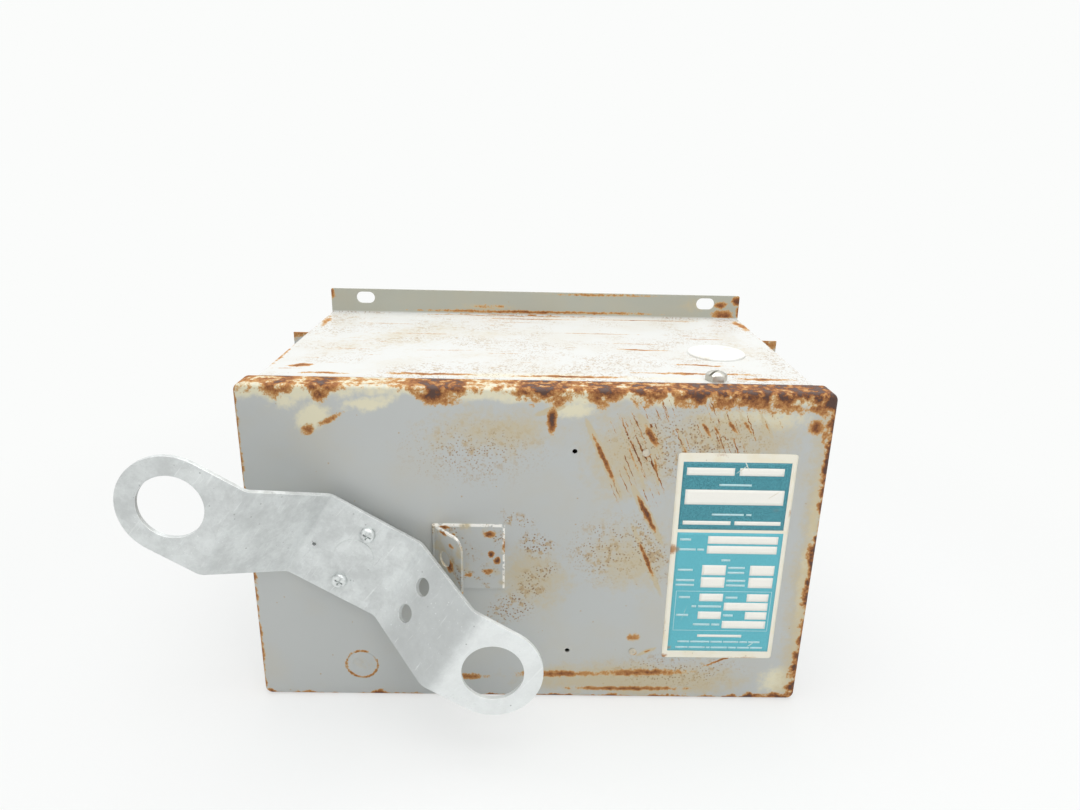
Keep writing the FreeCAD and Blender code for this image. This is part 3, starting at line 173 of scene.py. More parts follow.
# ---------------------------------------------------------------- materials
class Finish:
    """A procedural material: each method adds nodes and returns a socket, with places in millimetres."""

    def __init__(self, name):
        self.material = bpy.data.materials.new(name)
        self.material.use_nodes = True
        self.tree = self.material.node_tree
        self.shader = self.tree.nodes["Principled BSDF"]
        where = self.tree.nodes.new("ShaderNodeTexCoord").outputs["Object"]
        self.place = self.vector("SCALE", where, scale=1 / MM)
        self.split = None

    def put(self, value, socket):
        """Link a socket to an input, or set the input's own value; a colour gets full alpha."""
        if isinstance(value, bpy.types.NodeSocket):
            self.tree.links.new(value, socket)
        elif hasattr(value, "__len__") and len(value) == 3 and len(socket.default_value) == 4:
            socket.default_value = (*value, 1.0)
        else:
            socket.default_value = value

    def vector(self, operation, a, b=None, scale=None):
        """Vector arithmetic: a length gives one number, all else gives a vector."""
        node = self.tree.nodes.new("ShaderNodeVectorMath")
        node.operation = operation
        self.put(a, node.inputs[0])
        if b is not None:
            self.put(b, node.inputs[1])
        if scale is not None:
            self.put(scale, node.inputs["Scale"])
        return node.outputs["Value"] if operation == "LENGTH" else node.outputs["Vector"]

    def calc(self, operation, a, b=0.0, clamp=False):
        """Arithmetic on one or two numbers, kept between 0 and 1 if clamped."""
        node = self.tree.nodes.new("ShaderNodeMath")
        node.operation = operation
        node.use_clamp = clamp
        self.put(a, node.inputs[0])
        self.put(b, node.inputs[1])
        return node.outputs[0]

    def parts(self, place):
        """The x, y and z of a place."""
        node = self.tree.nodes.new("ShaderNodeSeparateXYZ")
        self.put(place, node.inputs[0])
        return node.outputs

    def axis(self, index):
        """One coordinate of the object's own place."""
        if self.split is None:
            self.split = self.parts(self.place)
        return self.split[index]

    def mapped(self, centre=(0, 0, 0), size=(1, 1, 1), turn=(0, 0, 0), source=None):
        """The place seen from a centre, turned back by the angles in degrees and divided by the sizes."""
        node = self.tree.nodes.new("ShaderNodeMapping")
        node.vector_type = "TEXTURE"
        self.put(source or self.place, node.inputs["Vector"])
        node.inputs["Location"].default_value = centre
        node.inputs["Rotation"].default_value = [math.radians(a) for a in turn]
        node.inputs["Scale"].default_value = size
        return node.outputs[0]

    def noise(self, size, detail=3.0, rough=0.5, source=None, output="Fac"):
        """Cloudy noise whose features are about as large as the size."""
        node = self.tree.nodes.new("ShaderNodeTexNoise")
        self.put(source or self.place, node.inputs["Vector"])
        node.inputs["Scale"].default_value = 1 / size
        node.inputs["Detail"].default_value = detail
        node.inputs["Roughness"].default_value = rough
        return node.outputs[output]

    def cells(self, size, output="Distance", source=None):
        """Cells of about the size: the distance to the nearest cell's point, or each cell's own colour."""
        node = self.tree.nodes.new("ShaderNodeTexVoronoi")
        self.put(source or self.place, node.inputs["Vector"])
        node.inputs["Scale"].default_value = 1 / size
        return node.outputs[output]

    def swing(self, value, reach):
        """The value's distance from one half, times the reach."""
        return self.calc("MULTIPLY", self.calc("SUBTRACT", value, 0.5), reach)

    def total(self, *values):
        """Sum of the values."""
        out = values[0]
        for value in values[1:]:
            out = self.calc("ADD", out, value)
        return out

    def times(self, *values):
        """Product of the values."""
        out = values[0]
        for value in values[1:]:
            out = self.calc("MULTIPLY", out, value)
        return out

    def step(self, value, low, high, start=0.0, end=1.0):
        """Smooth step from start to end as the value runs from low to high."""
        node = self.tree.nodes.new("ShaderNodeMapRange")
        node.interpolation_type = "SMOOTHSTEP"
        for name, number in (("Value", value), ("From Min", low), ("From Max", high), ("To Min", start),
                             ("To Max", end)):
            self.put(number, node.inputs[name])
        return node.outputs[0]

    def mix(self, share, a, b):
        """Colour a where the share is 0, colour b where it is 1."""
        node = self.tree.nodes.new("ShaderNodeMix")
        node.data_type = "RGBA"
        self.put(share, node.inputs[0])
        self.put(a, node.inputs[6])
        self.put(b, node.inputs[7])
        return node.outputs[2]

    def ramp(self, value, stops):
        """Colours that run into each other as the value passes the stops, each a place and a colour."""
        node = self.tree.nodes.new("ShaderNodeValToRGB")
        self.put(value, node.inputs[0])
        band = node.color_ramp
        while len(band.elements) < len(stops):
            band.elements.new(0.5)
        for element, (where, shade) in zip(band.elements, stops):
            element.position = where
            element.color = (*shade, 1.0)
        return node.outputs[0]

    def profile(self, along, low, high, values):
        """A smooth curve through evenly spaced values from 0 to 1 as the place runs from low to high."""
        share = self.calc("DIVIDE", self.calc("SUBTRACT", along, low), high - low, clamp=True)
        places = np.linspace(0, 1, len(values))
        return self.ramp(share, [(float(p), (v, v, v)) for p, v in zip(places, values)])

    def fringe(self, inward, reach, strength):
        """Level that falls from the strength at an edge to nothing at the reach inward of it."""
        return self.times(self.step(self.calc("DIVIDE", inward, reach), 0.0, 1.0, 1.0, 0.0), strength)

    def highest(self, values):
        """Highest of the values at each place."""
        top = values[0]
        for value in values[1:]:
            top = self.calc("MAXIMUM", top, value)
        return top

    def patches(self, rows, flat, source=None):
        """Highest of soft ovals on a plane; a row is two centre places, two radii, a tilt, a strength."""
        top = None
        for u, v, ru, rv, tilt, strength in rows:
            if flat == "XZ":
                centre, size, turn = (u, 0, v), (ru, FAR, rv), (0, -tilt, 0)
            elif flat == "XY":
                centre, size, turn = (u, v, 0), (ru, rv, FAR), (0, 0, tilt)
            else:
                centre, size, turn = (0, u, v), (FAR, ru, rv), (tilt, 0, 0)
            far = self.vector("LENGTH", self.mapped(centre, size, turn, source))
            level = self.step(far, 0.0, 1.0, strength, 0.0)
            top = level if top is None else self.calc("MAXIMUM", top, level)
        return top

    def strokes(self, rows, flat, source, spread=1.0):
        """Long thin patches; a row is two ends, a width, which the spread multiplies, and a strength."""
        ovals = []
        for u0, v0, u1, v1, width, strength in rows:
            run, rise = u1 - u0, v1 - v0
            ovals.append(((u0 + u1) / 2, (v0 + v1) / 2, math.hypot(run, rise) / 2, spread * width / 2,
                          math.degrees(math.atan2(rise, run)), strength))
        return self.patches(ovals, flat, source)

    def warped(self, size, reach):
        """The place pushed about by a noise of that size, so that edges wander by up to the reach."""
        push = self.noise(size, 5.0, 0.6, output="Color")
        centred = self.vector("SUBTRACT", push, (0.5, 0.5, 0.5))
        return self.vector("ADD", self.place, self.vector("SCALE", centred, scale=2 * reach))

    def bump(self, height, distance, strength, below=None):
        """Normal tipped by the height, which counts up to the distance, over the normal below."""
        node = self.tree.nodes.new("ShaderNodeBump")
        self.put(strength, node.inputs["Strength"])
        node.inputs["Distance"].default_value = distance
        self.put(height, node.inputs["Height"])
        if below is not None:
            self.put(below, node.inputs["Normal"])
        return node.outputs[0]

    def finish(self, shade, rough, metal=0.0, normal=None):
        """Wire the shader's inputs and return the material."""
        self.put(shade, self.shader.inputs["Base Color"])
        self.put(rough, self.shader.inputs["Roughness"])
        self.put(metal, self.shader.inputs["Metallic"])
        if normal is not None:
            self.put(normal, self.shader.inputs["Normal"])
        return self.material


def lever_axis():
    """The lever shaft's place in millimetres, from the joint that turns the lever."""
    joint = next(one for one in frame["joints"] if one["name"] == "handle_turn")
    return [value / MM for value in joint["pos_m"]]


def settings():
    """The scene, which carries every group of settings."""
    return bpy.context.scene


def scaled(shade, share):
    """The colour with each channel multiplied by the share."""
    return tuple(channel * share for channel in shade)


def enamel(f, base, rust, cream, stain, specks):
    """Coats from the bottom up: enamel with slow dirt, cream film, tan stain that soaks out of the rust,
    brown specks and smudges, then rust that noise breaks up and that darkens with its level."""
    paint = settings().switch_paint
    crumbs = f.noise(1.0, 4, 0.65)
    fine = f.noise(4.2, 5, 0.66)
    slow = f.noise(48, 4, 0.55)
    dirt = f.mix(f.step(slow, 0.42, 0.72, 0.0, 0.16), base, paint.tan)
    film = f.step(f.total(cream, f.swing(fine, 0.9), f.swing(slow, 0.6)), 0.20, 0.80, 0.0, 0.85)
    filmed = f.mix(film, dirt, paint.cream)
    soaked = f.highest([f.times(f.step(rust, 0.0, 0.5), 0.8), stain])
    tinted = f.mix(f.step(f.total(soaked, f.swing(fine, 1.2), f.swing(slow, 0.7)), 0.22, 1.0, 0.0, 0.74),
                   filmed, paint.tan)
    dot_places = f.warped(3, 1.0)
    dots = f.times(f.step(f.cells(1.9, source=dot_places), 0.46, 0.18), specks)
    smudges = f.times(f.step(fine, 0.47, 0.64, 0.0, 0.85), specks)
    flies = f.step(f.cells(11, source=dot_places), 0.075, 0.03, 0.0, 0.62)
    speck_tone = f.mix(f.step(f.total(dots, f.swing(crumbs, 1.0)), 0.30, 0.80), paint.speck_light,
                       paint.speck_dark)
    speckled = f.mix(f.step(f.highest([dots, smudges, flies]), 0.10, 0.75, 0.0, 0.85), tinted, speck_tone)
    level = f.times(f.total(rust, f.swing(fine, 1.15), f.swing(crumbs, 0.55)), f.step(rust, 0.03, 0.20))
    rusty = f.ramp(level, [(0.20, paint.rust_edge), (0.38, paint.rust_orange), (0.60, paint.rust_brown),
                           (0.82, paint.rust_dark), (1.0, paint.rust_black)])
    mask = f.step(level, 0.13, 0.40)
    out = f.mix(mask, speckled, rusty)
    rough = f.calc("SUBTRACT", f.step(mask, 0.0, 1.0, 0.42, 0.88), f.step(level, 0.82, 1.05, 0.0, 0.38))
    peel = f.bump(f.noise(1.9, 2), 0.02 * MM, 0.6)
    scale = f.bump(f.total(crumbs, f.noise(2.6, 3)), 0.35 * MM, f.step(level, 0.15, 0.9), below=peel)
    return f.finish(out, rough, normal=scale)


def zinc_coat(name, base, light, rough, metal, spangle=6.0):
    """Hot-dip zinc: faint cells, cloudy oxide, bright flecks, dark pits and fine scuffs. Along the lever,
    the right arm's slope is darkened as painted shade and the right eye is lightened as a painted highlight."""
    f = Finish(name)
    shaft_x, _, shaft_z = lever_axis()
    along = f.parts(f.mapped((shaft_x, 0, shaft_z), turn=(0, LEVER_TILT, 0)))[0]
    cells = f.step(f.cells(spangle, output="Color"), 0.1, 0.9)
    cloud = f.noise(20, 5, 0.65)
    fine = f.noise(1.3, 4, 0.6)
    mottle = f.noise(3.2, 4, 0.7)
    oxide = f.total(f.swing(cells, 0.18), f.swing(cloud, 1.5), f.swing(mottle, 0.7))
    shade = f.mix(f.step(oxide, -0.45, 0.45), scaled(base, 0.74), base)
    # painted shade: the right arm's slope is darkened to 62 % of the base colour
    painted_arm_shade = f.times(f.step(along, 33, 47), f.step(along, 84, 74))
    shade = f.mix(f.times(painted_arm_shade, 0.62), shade, scaled(base, 0.62))
    # painted highlight: the right eye is lightened towards the bright zinc, up to 55 %
    shade = f.mix(f.step(along, 78, 88, 0.0, 0.55), shade, light)
    flecks = f.step(f.cells(2.7, source=f.warped(5, 2)), 0.17, 0.05, 0.0, 0.75)
    shade = f.mix(f.times(flecks, f.step(cloud, 0.42, 0.6)), shade, light)
    scuffs = f.noise(2.4, 3, 0.7, f.mapped(size=(1, 1, 14), turn=(0, 38, 0)))
    shade = f.mix(f.step(scuffs, 0.60, 0.76, 0.0, 0.5), shade, light)
    pits = f.step(f.cells(8.5), 0.085, 0.035, 0.0, 0.75)
    grey = f.highest([pits, f.step(scuffs, 0.33, 0.22, 0.0, 0.35), f.step(mottle, 0.62, 0.74, 0.0, 0.30)])
    shade = f.mix(grey, shade, scaled(base, 0.46))
    dulling = f.step(f.total(fine, f.swing(cells, 0.6)), 0.3, 0.8, rough - 0.07, rough + 0.13)
    return f.finish(shade, dulling, metal, f.bump(f.total(fine, f.times(pits, -1.5)), 0.05 * MM, 0.6))


def plain_metal(name, base, rough, size, metal=1.0, tarnish=0.5):
    """Plated or bare metal: fine grain, cloudy tarnish and a few darker spots."""
    f = Finish(name)
    grain = f.noise(size, 4, 0.6)
    spots = f.noise(size * 6, 4, 0.6)
    tint = f.mix(f.step(spots, 0.42, 0.72, 0.0, tarnish), base, scaled(base, 0.5))
    tint = f.mix(f.step(f.cells(size * 2.5), 0.14, 0.05, 0.0, tarnish), tint, scaled(base, 0.35))
    return f.finish(tint, f.step(grain, 0.3, 0.7, rough - 0.08, rough + 0.14), metal,
                    f.bump(grain, 0.04 * MM, 0.5))


def plain_plastic(name, base, rough, grain_size=0.8, flow=0.35):
    """Moulded or pressed insulation: cloudy filler, faint flow marks and a fine surface grain."""
    f = Finish(name)
    grain = f.noise(grain_size, 3)
    slow = f.noise(22, 4, 0.6, f.mapped(size=(1, 1, 3)))
    light = tuple(min(1, c * 1.5 + 0.01) for c in base)
    shade = f.mix(f.step(slow, 0.4, 0.75, 0.0, flow), base, light)
    shade = f.mix(f.step(f.noise(5, 5, 0.7), 0.62, 0.78, 0.0, 0.4), shade, scaled(base, 0.55))
    return f.finish(shade, f.step(slow, 0.3, 0.7, rough - 0.06, rough + 0.1), 0.0,
                    f.bump(grain, 0.03 * MM, 0.5))


# ---------------------------------------------------------------- pieces
def softened(node, radius, material, edge=None):
    """Copy of a CAD node with merged corners, dissolved flats and a small bevel along its sharp edges."""
    source = frame["nodes"][node]
    mesh = source.data.copy()
    mesh.materials.clear()
    work = bmesh.new()
    work.from_mesh(mesh)
    bmesh.ops.remove_doubles(work, verts=work.verts, dist=MERGE_WITHIN)
    bmesh.ops.dissolve_limit(work, angle_limit=FLAT_WITHIN, verts=work.verts, edges=work.edges,
                             delimit={"NORMAL"})
    work.to_mesh(mesh)
    work.free()
    for name in [layer.name for layer in mesh.uv_layers]:
        mesh.uv_layers.remove(mesh.uv_layers[name])
    mesh.shade_smooth()
    mesh.set_sharp_from_angle(angle=SMOOTH_BELOW)
    piece = bpy.data.objects.new(node + "_finished", mesh)
    bpy.context.scene.collection.objects.link(piece)
    mesh.materials.append(material)
    if edge is not None:
        mesh.materials.append(edge)
    if radius:
        bevel = piece.modifiers.new("Edges", "BEVEL")
        bevel.width = radius
        bevel.segments = 2
        bevel.limit_method = "ANGLE"
        bevel.angle_limit = BEVEL_ABOVE
        bevel.harden_normals = True
        if edge is not None:
            bevel.material = 1
    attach(piece, source["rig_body"])
    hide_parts(node)
    return piece


def repaint(node, material):
    """Give a CAD node's own object a better material."""
    for one in frame["nodes"][node].material_slots:
        one.material = material


class Piece:
    bl_options = {"REGISTER", "UNDO"}


class SWITCH_OT_stage(Piece, bpy.types.Operator):
    """Pale floor and backdrop, soft lights and the camera."""
    bl_idname = "switch.stage"
    bl_label = "Studio stage"

    def execute(self, context):
        values = settings().switch_stage
        pale_floor()
        area_light("Overhead", (0.02, 0.05, 1.25), (0, 0.05, 0.1), 1.6, values.overhead)
        area_light("Front", (0.30, -1.35, 0.95), (0, 0, 0.1), 1.3, values.front)
        world = bpy.data.worlds.new("Studio")
        context.scene.world = world
        world.use_nodes = True
        tree = world.node_tree
        light = tree.nodes["Background"]
        light.inputs["Color"].default_value = (1, 1, 1, 1)
        light.inputs["Strength"].default_value = values.ambient
        wall = tree.nodes.new("ShaderNodeBackground")
        wall.inputs["Color"].default_value = (*values.backdrop, 1)
        path = tree.nodes.new("ShaderNodeLightPath")
        seen = seen_directly(tree, path)
        blend = tree.nodes.new("ShaderNodeMixShader")
        tree.links.new(seen, blend.inputs[0])
        tree.links.new(light.outputs[0], blend.inputs[1])
        tree.links.new(wall.outputs[0], blend.inputs[2])
        tree.links.new(blend.outputs[0], tree.nodes["World Output"].inputs["Surface"])
        context.scene.view_settings.view_transform = "Standard"
        camera = bpy.data.objects.new("Camera", bpy.data.cameras.new("Camera"))
        context.scene.collection.objects.link(camera)
        camera.data.lens = values.camera_lens
        camera.data.sensor_width = 36
        camera.data.sensor_fit = "HORIZONTAL"
        camera.data.clip_start = 0.01
        pan, tilt, roll = (math.radians(angle) for angle in values.camera_turn)
        camera.matrix_world = (Matrix.Translation(values.camera_place)
                               @ Matrix.Rotation(pan, 4, "Z")
                               @ Matrix.Rotation(math.pi / 2 - tilt, 4, "X")
                               @ Matrix.Rotation(roll, 4, "Z"))
        context.scene.camera = camera
        return {"FINISHED"}


def seen_directly(tree, path):
    """1 for rays from the camera, or by way of a mirror or glass; 0 for the rays that light surfaces."""
    top = path.outputs["Is Camera Ray"]
    for name in ("Is Glossy Ray", "Is Transmission Ray"):
        node = tree.nodes.new("ShaderNodeMath")
        node.operation = "MAXIMUM"
        tree.links.new(top, node.inputs[0])
        tree.links.new(path.outputs[name], node.inputs[1])
        top = node.outputs[0]
    return top


def area_light(name, place, target, size, power):
    """Round lamp at a place, turned to face the target."""
    lamp = bpy.data.lights.new(name, "AREA")
    lamp.shape = "DISK"
    lamp.size = size
    lamp.energy = power
    holder = bpy.data.objects.new(name, lamp)
    bpy.context.scene.collection.objects.link(holder)
    away = np.array(place) - np.array(target)
    holder.location = place
    holder.rotation_mode = "QUATERNION"
    holder.rotation_quaternion = Vector(away).to_track_quat("Z", "Y")


def pale_floor():
    """Floor of rings round a disc: each corner is a ring's radius times the cosine and sine of its angle."""
    spokes = 72
    radii = np.geomspace(0.2, 40.0, 18)
    angle = np.linspace(0, 2 * np.pi, spokes, endpoint=False)
    x, y = radii[:, None] * np.cos(angle), radii[:, None] * np.sin(angle)
    points = np.stack([x, y, np.zeros_like(x)], axis=2).reshape(-1, 3)
    ring, spoke = np.meshgrid(np.arange(len(radii) - 1), np.arange(spokes), indexing="ij")
    inner, outer, after = ring * spokes, (ring + 1) * spokes, (spoke + 1) % spokes
    bands = np.stack([inner + spoke, outer + spoke, outer + after, inner + after], axis=2).reshape(-1, 4)
    mesh = bpy.data.meshes.new("Floor")
    mesh.from_pydata(points, [], [list(range(spokes)), *bands.tolist()])
    floor = bpy.data.objects.new("Floor", mesh)
    bpy.context.scene.collection.objects.link(floor)
    f = Finish("Floor")
    f.finish((0.84, 0.85, 0.85), 0.8)
    far = f.vector("LENGTH", f.mapped((0, 60, 0)))
    glow = f.tree.nodes.new("ShaderNodeEmission")
    f.put(settings().switch_stage.backdrop, glow.inputs["Color"])
    blend = f.tree.nodes.new("ShaderNodeMixShader")
    path = f.tree.nodes.new("ShaderNodeLightPath")
    share = f.times(seen_directly(f.tree, path), f.step(far, 220, 700, 0.60, 1.0))
    f.tree.links.new(share, blend.inputs[0])
    f.tree.links.new(f.shader.outputs[0], blend.inputs[1])
    f.tree.links.new(glow.outputs[0], blend.inputs[2])
    f.tree.links.new(blend.outputs[0], f.tree.nodes["Material Output"].inputs["Surface"])
    mesh.materials.append(f.material)


class SWITCH_OT_enclosure(Piece, bpy.types.Operator):
    """Top, bottom, sides and rear of the box in worn enamel."""
    bl_idname = "switch.enclosure"
    bl_label = "Enclosure"

    def execute(self, context):
        paint = settings().switch_paint
        low, high = (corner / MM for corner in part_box("top_panel"))
        f = Finish("Top enamel")
        loose, tight = f.warped(16, 6), f.warped(5, 1.4)
        on_flange = f.step(f.axis(2), 234.0, 235.5)
        on_top = f.calc("SUBTRACT", 1.0, on_flange)
        spots = f.patches([(-161, -25, 13, 7, 5, 0.85), (-183, 20, 5, 80, 3, 0.6), (-176, 110, 6, 34, 3, 0.5),
                           (184, 40, 6, 70, 3, 0.7), (176, 120, 7, 32, 3, 0.6), (78, 32, 30, 3, -6, 0.65),
                           (116, -7, 34, 3.5, -5, 0.6), (108, -29, 72, 4, 0, 0.62), (20, -41, 60, 4, 0, 0.75),
                           (-70, -41, 50, 4, 0, 0.75), (-140, -42, 26, 4, 0, 0.6), (150, -40, 34, 5, 0, 0.65),
                           (-20, 144, 150, 3.0, 0, 0.5)], "XY", loose)
        lines = f.strokes([(-66, 131, 56, 132, 4.5, 0.85), (20, 134, 172, 135, 3.6, 0.8),
                           (-170, 106, -80, 104, 2.4, 0.5), (-150, 72, -30, 71, 2.2, 0.45),
                           (-10, 82, 110, 81, 2.6, 0.6), (100, 70, 168, 69, 2.6, 0.6),
                           (-110, 19, -20, 24, 2.0, 0.45), (40, 52, 110, 49, 2.0, 0.55),
                           (-80, 118, 40, 117, 1.8, 0.5)], "XY", tight)
        drag = f.noise(3.4, 4, 0.65, f.mapped(size=(16, 1, 16)))
        dragged = f.step(drag, 0.60, 0.82, 0.0, 0.62)
        behind = f.strokes([(-178, 236.5, 178, 237, 5, 0.62), (150, 237, 182, 237, 16, 0.8)], "XZ", tight)
        flange = f.highest([behind, f.patches([(178, 250, 8, 7, 0, 1.0), (164, 246, 9, 5, 0, 0.8),
                                               (181, 240, 5, 12, 0, 0.9), (-179, 250, 4, 9, 0, 0.6),
                                               (-40, 241, 34, 4, 0, 0.3), (60, 253, 90, 2.5, 0, 0.45)],
                                              "XZ", tight)])
        rust = f.mix(on_flange, f.highest([spots, lines, dragged]), flange)
        stain = f.mix(on_flange, f.patches([(-100, 60, 150, 140, 0, 0.45), (150, 60, 50, 120, 0, 0.4)], "XY"),
                      f.patches([(-40, 240, 60, 8, 0, 0.7), (150, 246, 50, 14, 0, 0.6)], "XZ"))
        cream = f.times(on_top, f.patches([(0, -42, 240, 14, 0, 0.55), (0, 136, 200, 12, 0, 0.4)], "XY"))
        specks = f.times(f.step(f.noise(42, 3), 0.36, 0.62, 0.10, 0.62), on_top)
        # the top's paler base is painted light and the flange's darker base is painted shade
        base = f.mix(on_flange, paint.top_enamel_painted_light, paint.flange_enamel_painted_shade)
        coat = enamel(f, base, rust, cream, stain, specks)
        softened("top_panel", paint.edge_radius, coat)
        f = Finish("Seal enamel")
        coat = enamel(f, tone(234, 235, 232), f.patches([(118, 92, 26, 3, 10, 0.25)], "XY", f.warped(6, 3)),
                      0.0, f.step(f.noise(12, 3), 0.5, 0.7, 0.0, 0.4), 0.25)
        softened("hole_seal", 0.2 * MM, coat)

        panels = (
            ("Side enamel", ("side_panel_left", "side_panel_right", "hinge_leaf_body"), "YZ",
             [(low.y + 198, 110, 6, 150, 0, 0.7), (50, 34, 16, 12, 10, 0.7), (-20, 190, 22, 9, -10, 0.75),
              (20, 90, 6, 24, 20, 0.6)]),
            ("Rear enamel", ("rear_panel",), "XZ",
             [(-150, 40, 30, 12, 6, 0.7), (150, 190, 26, 16, -20, 0.7), (-184, 110, 4, 130, 0, 0.6),
              (184, 110, 4, 130, 0, 0.6), (110, 60, 16, 20, 30, 0.6), (-120, 205, 34, 8, 0, 0.65)]),
            ("Bottom enamel", ("bottom_panel",), "XY",
             [(-150, -30, 34, 14, 5, 0.8), (120, 40, 44, 18, -8, 0.8), (0, -44, 190, 5, 0, 0.8),
              (-60, 66, 90, 6, 0, 0.7), (40, 0, 20, 30, 40, 0.65), (-184, 0, 6, 80, 0, 0.7),
              (184, 0, 6, 80, 0, 0.7)]),
        )
        for name, nodes, flat, rows in panels:
            f = Finish(name)
            tight = f.warped(10, 4)
            levels = [f.patches(rows, flat, tight)]
            if flat != "XY":
                z = f.axis(2)
                levels.append(f.step(f.total(z, f.swing(f.noise(20, 4), 22)), 10, 0, 0.0, 0.8))
                upper = f.total(z, f.swing(f.noise(16, 4), 20))
                levels.append(f.step(upper, high.z - 32, high.z - 20, 0.0, 0.5))
                levels.append(f.step(f.noise(5, 4, 0.65, f.mapped(size=(1, 1, 14))), 0.62, 0.82, 0.0, 0.45))
            stain = f.step(f.noise(60, 3), 0.4, 0.7, 0.0, 0.4)
            specks = f.step(f.noise(36, 3), 0.5, 0.7, 0.0, 0.5)
            coat = enamel(f, paint.enamel, f.highest(levels), 0.0, stain, specks)
            for node in nodes:
                softened(node, paint.edge_radius, coat)
        return {"FINISHED"}


def cover_outside(f):
    """1 on the cover's outer face and 0 behind it."""
    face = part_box("cover_pan")[0].y / MM
    return f.step(f.axis(1), face + 0.9, face + 0.4)


def cover_rust(f):
    """Rust level of the cover and the stain beside its scratches: fringes along its four edges, then marks,
    scratches and the knockout's ring."""
    low, high = (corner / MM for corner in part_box("cover_pan"))
    loose, tight = f.warped(13, 5), f.warped(3.5, 1.2)
    x, _, z = f.parts(loose)
    clots = f.step(f.noise(6.5, 4, 0.6), 0.36, 0.62, 0.45, 1.2)
    top_reach = f.profile(x, low.x, high.x, (0.34, 0.20, 0.50, 0.12, 0.62, 0.18, 0.10, 0.14, 0.22, 0.60,
                                             0.56, 0.20, 0.16, 0.26, 0.62, 0.52, 0.24, 0.60, 0.26, 0.56,
                                             0.34, 0.50, 0.58, 0.56, 0.52, 0.60, 0.54, 0.62, 0.80))
    top = f.times(f.fringe(f.calc("SUBTRACT", high.z + 3, z), f.total(5.0, f.times(top_reach, 32.0)), 1.0),
                  f.total(0.28, f.times(top_reach, 1.25)), clots)
    foot_reach = f.profile(x, low.x, high.x, (0.55, 0.32, 0.50, 0.26, 0.30, 0.52, 0.34, 0.22, 0.42, 0.26,
                                              0.34, 0.22, 0.30, 0.40, 0.34, 0.46, 0.50, 0.40, 0.46, 0.52,
                                              0.44, 0.56, 0.80, 1.0))
    foot = f.times(f.fringe(f.calc("SUBTRACT", z, low.z - 1), f.times(foot_reach, 13.0), 1.0), clots)
    right_reach = f.profile(z, low.z, high.z, (1.0, 0.85, 0.62, 0.55, 0.42, 0.62, 0.48, 0.60, 0.46, 0.40,
                                               0.62, 0.50, 0.72, 0.80, 1.0))
    right = f.times(f.fringe(f.calc("SUBTRACT", high.x + 1, x), f.times(right_reach, 15.0), 0.95), clots)
    left = f.times(f.fringe(f.calc("SUBTRACT", x, low.x - 1.5), 5.5, 0.75), clots)
    marks = f.patches([(9.5, 213, 5, 15, 0, 1.0), (-145, 204, 8, 6, 40, 0.75),
                       (-131, 211, 17, 3.5, 28, 0.6), (71, 52, 8, 6, 0, 0.5), (178, 211, 8, 9, 0, 0.8),
                       (72, 190, 4, 4, 0, 0.55), (72, 39, 3.6, 3.6, 0, 0.5)], "XZ", tight)
    scratches = f.strokes([
        (24, 229, 64, 144, 3.0, 1.0), (58, 156, 94, 72, 2.6, 0.95), (34, 208, 50, 172, 2.6, 0.8),
        (60, 226, 87, 180, 4.0, 0.95), (55, 184, 93, 112, 3.2, 1.0), (72, 208, 83, 157, 2.4, 0.8),
        (45, 228, 80, 148, 2.0, 0.75), (84, 225, 112, 150, 2.4, 0.8), (96, 226, 121, 190, 2.6, 0.85),
        (105, 223, 126, 192, 2.2, 0.8), (114, 226, 136, 194, 2.8, 0.85), (124, 225, 146, 195, 2.4, 0.8),
        (138, 226, 156, 195, 2.2, 0.75), (-9, 213, 26, 226, 2.6, 0.7), (92, 160, 102, 172, 2.0, 0.6),
        (70, 35, 92, 45, 1.6, 0.8)], "XZ", tight, 3.0)
    low_lines = f.strokes([(-30, 19.5, 64, 21.0, 10.0, 0.72), (30, 21.0, 132, 24, 10.0, 0.72),
                           (112, 23, 160, 46, 3.2, 0.8), (0, 8.0, 138, 9, 6.5, 0.7),
                           (-70, 17, -20, 17.5, 10.0, 0.6)], "XZ", tight)
    drag = f.noise(1.7, 3, 0.6, f.mapped(size=(1, 1, 26), turn=(0, -24, 0), source=tight))
    region = f.patches([(104, 208, 86, 34, 0, 1.0), (64, 178, 34, 56, 24, 1.0)], "XZ", loose)
    dragged = f.times(f.step(drag, 0.57, 0.70), f.step(region, 0.10, 0.55, 0.0, 0.85))
    knockout_x, knockout_z, knockout_r = -120.2, 26.7, 11.0
    ring = f.vector("LENGTH", f.mapped((knockout_x, 0, knockout_z), (1, FAR, 1), source=tight))
    off_ring = f.calc("ABSOLUTE", f.calc("SUBTRACT", ring, knockout_r))
    circle = f.times(f.step(off_ring, 1.5, 0.4, 0.0, 0.42), clots)
    outside = cover_outside(f)
    cores = f.step(scratches, 0.46, 1.0, 0.0, 0.78)
    halo = f.times(f.step(scratches, 0.05, 0.5), outside)
    inner = f.times(f.highest([marks, cores, low_lines, dragged, circle]), outside)
    return f.highest([top, foot, right, left, inner]), halo


def cover_specks(f):
    """Where small rust dots crowd on the cover."""
    loose = f.warped(12, 7)
    crowd = f.patches([(-12, 142, 20, 9, -20, 0.9), (2, 124, 20, 15, -20, 1.15), (4, 103, 28, 12, 24, 0.9),
                       (-3, 90, 20, 13, 0, 1.15), (-16, 74, 27, 17, 20, 1.15), (78, 122, 20, 44, 26, 1.0),
                       (50, 120, 50, 46, 0, 0.7), (-40, 190, 90, 44, 0, 0.55), (100, 196, 90, 44, 0, 0.8),
                       (100, 24, 90, 24, 0, 0.75)], "XZ", loose)
    return f.times(crowd, f.step(f.noise(7, 3), 0.24, 0.52, 0.15, 1.25), cover_outside(f))


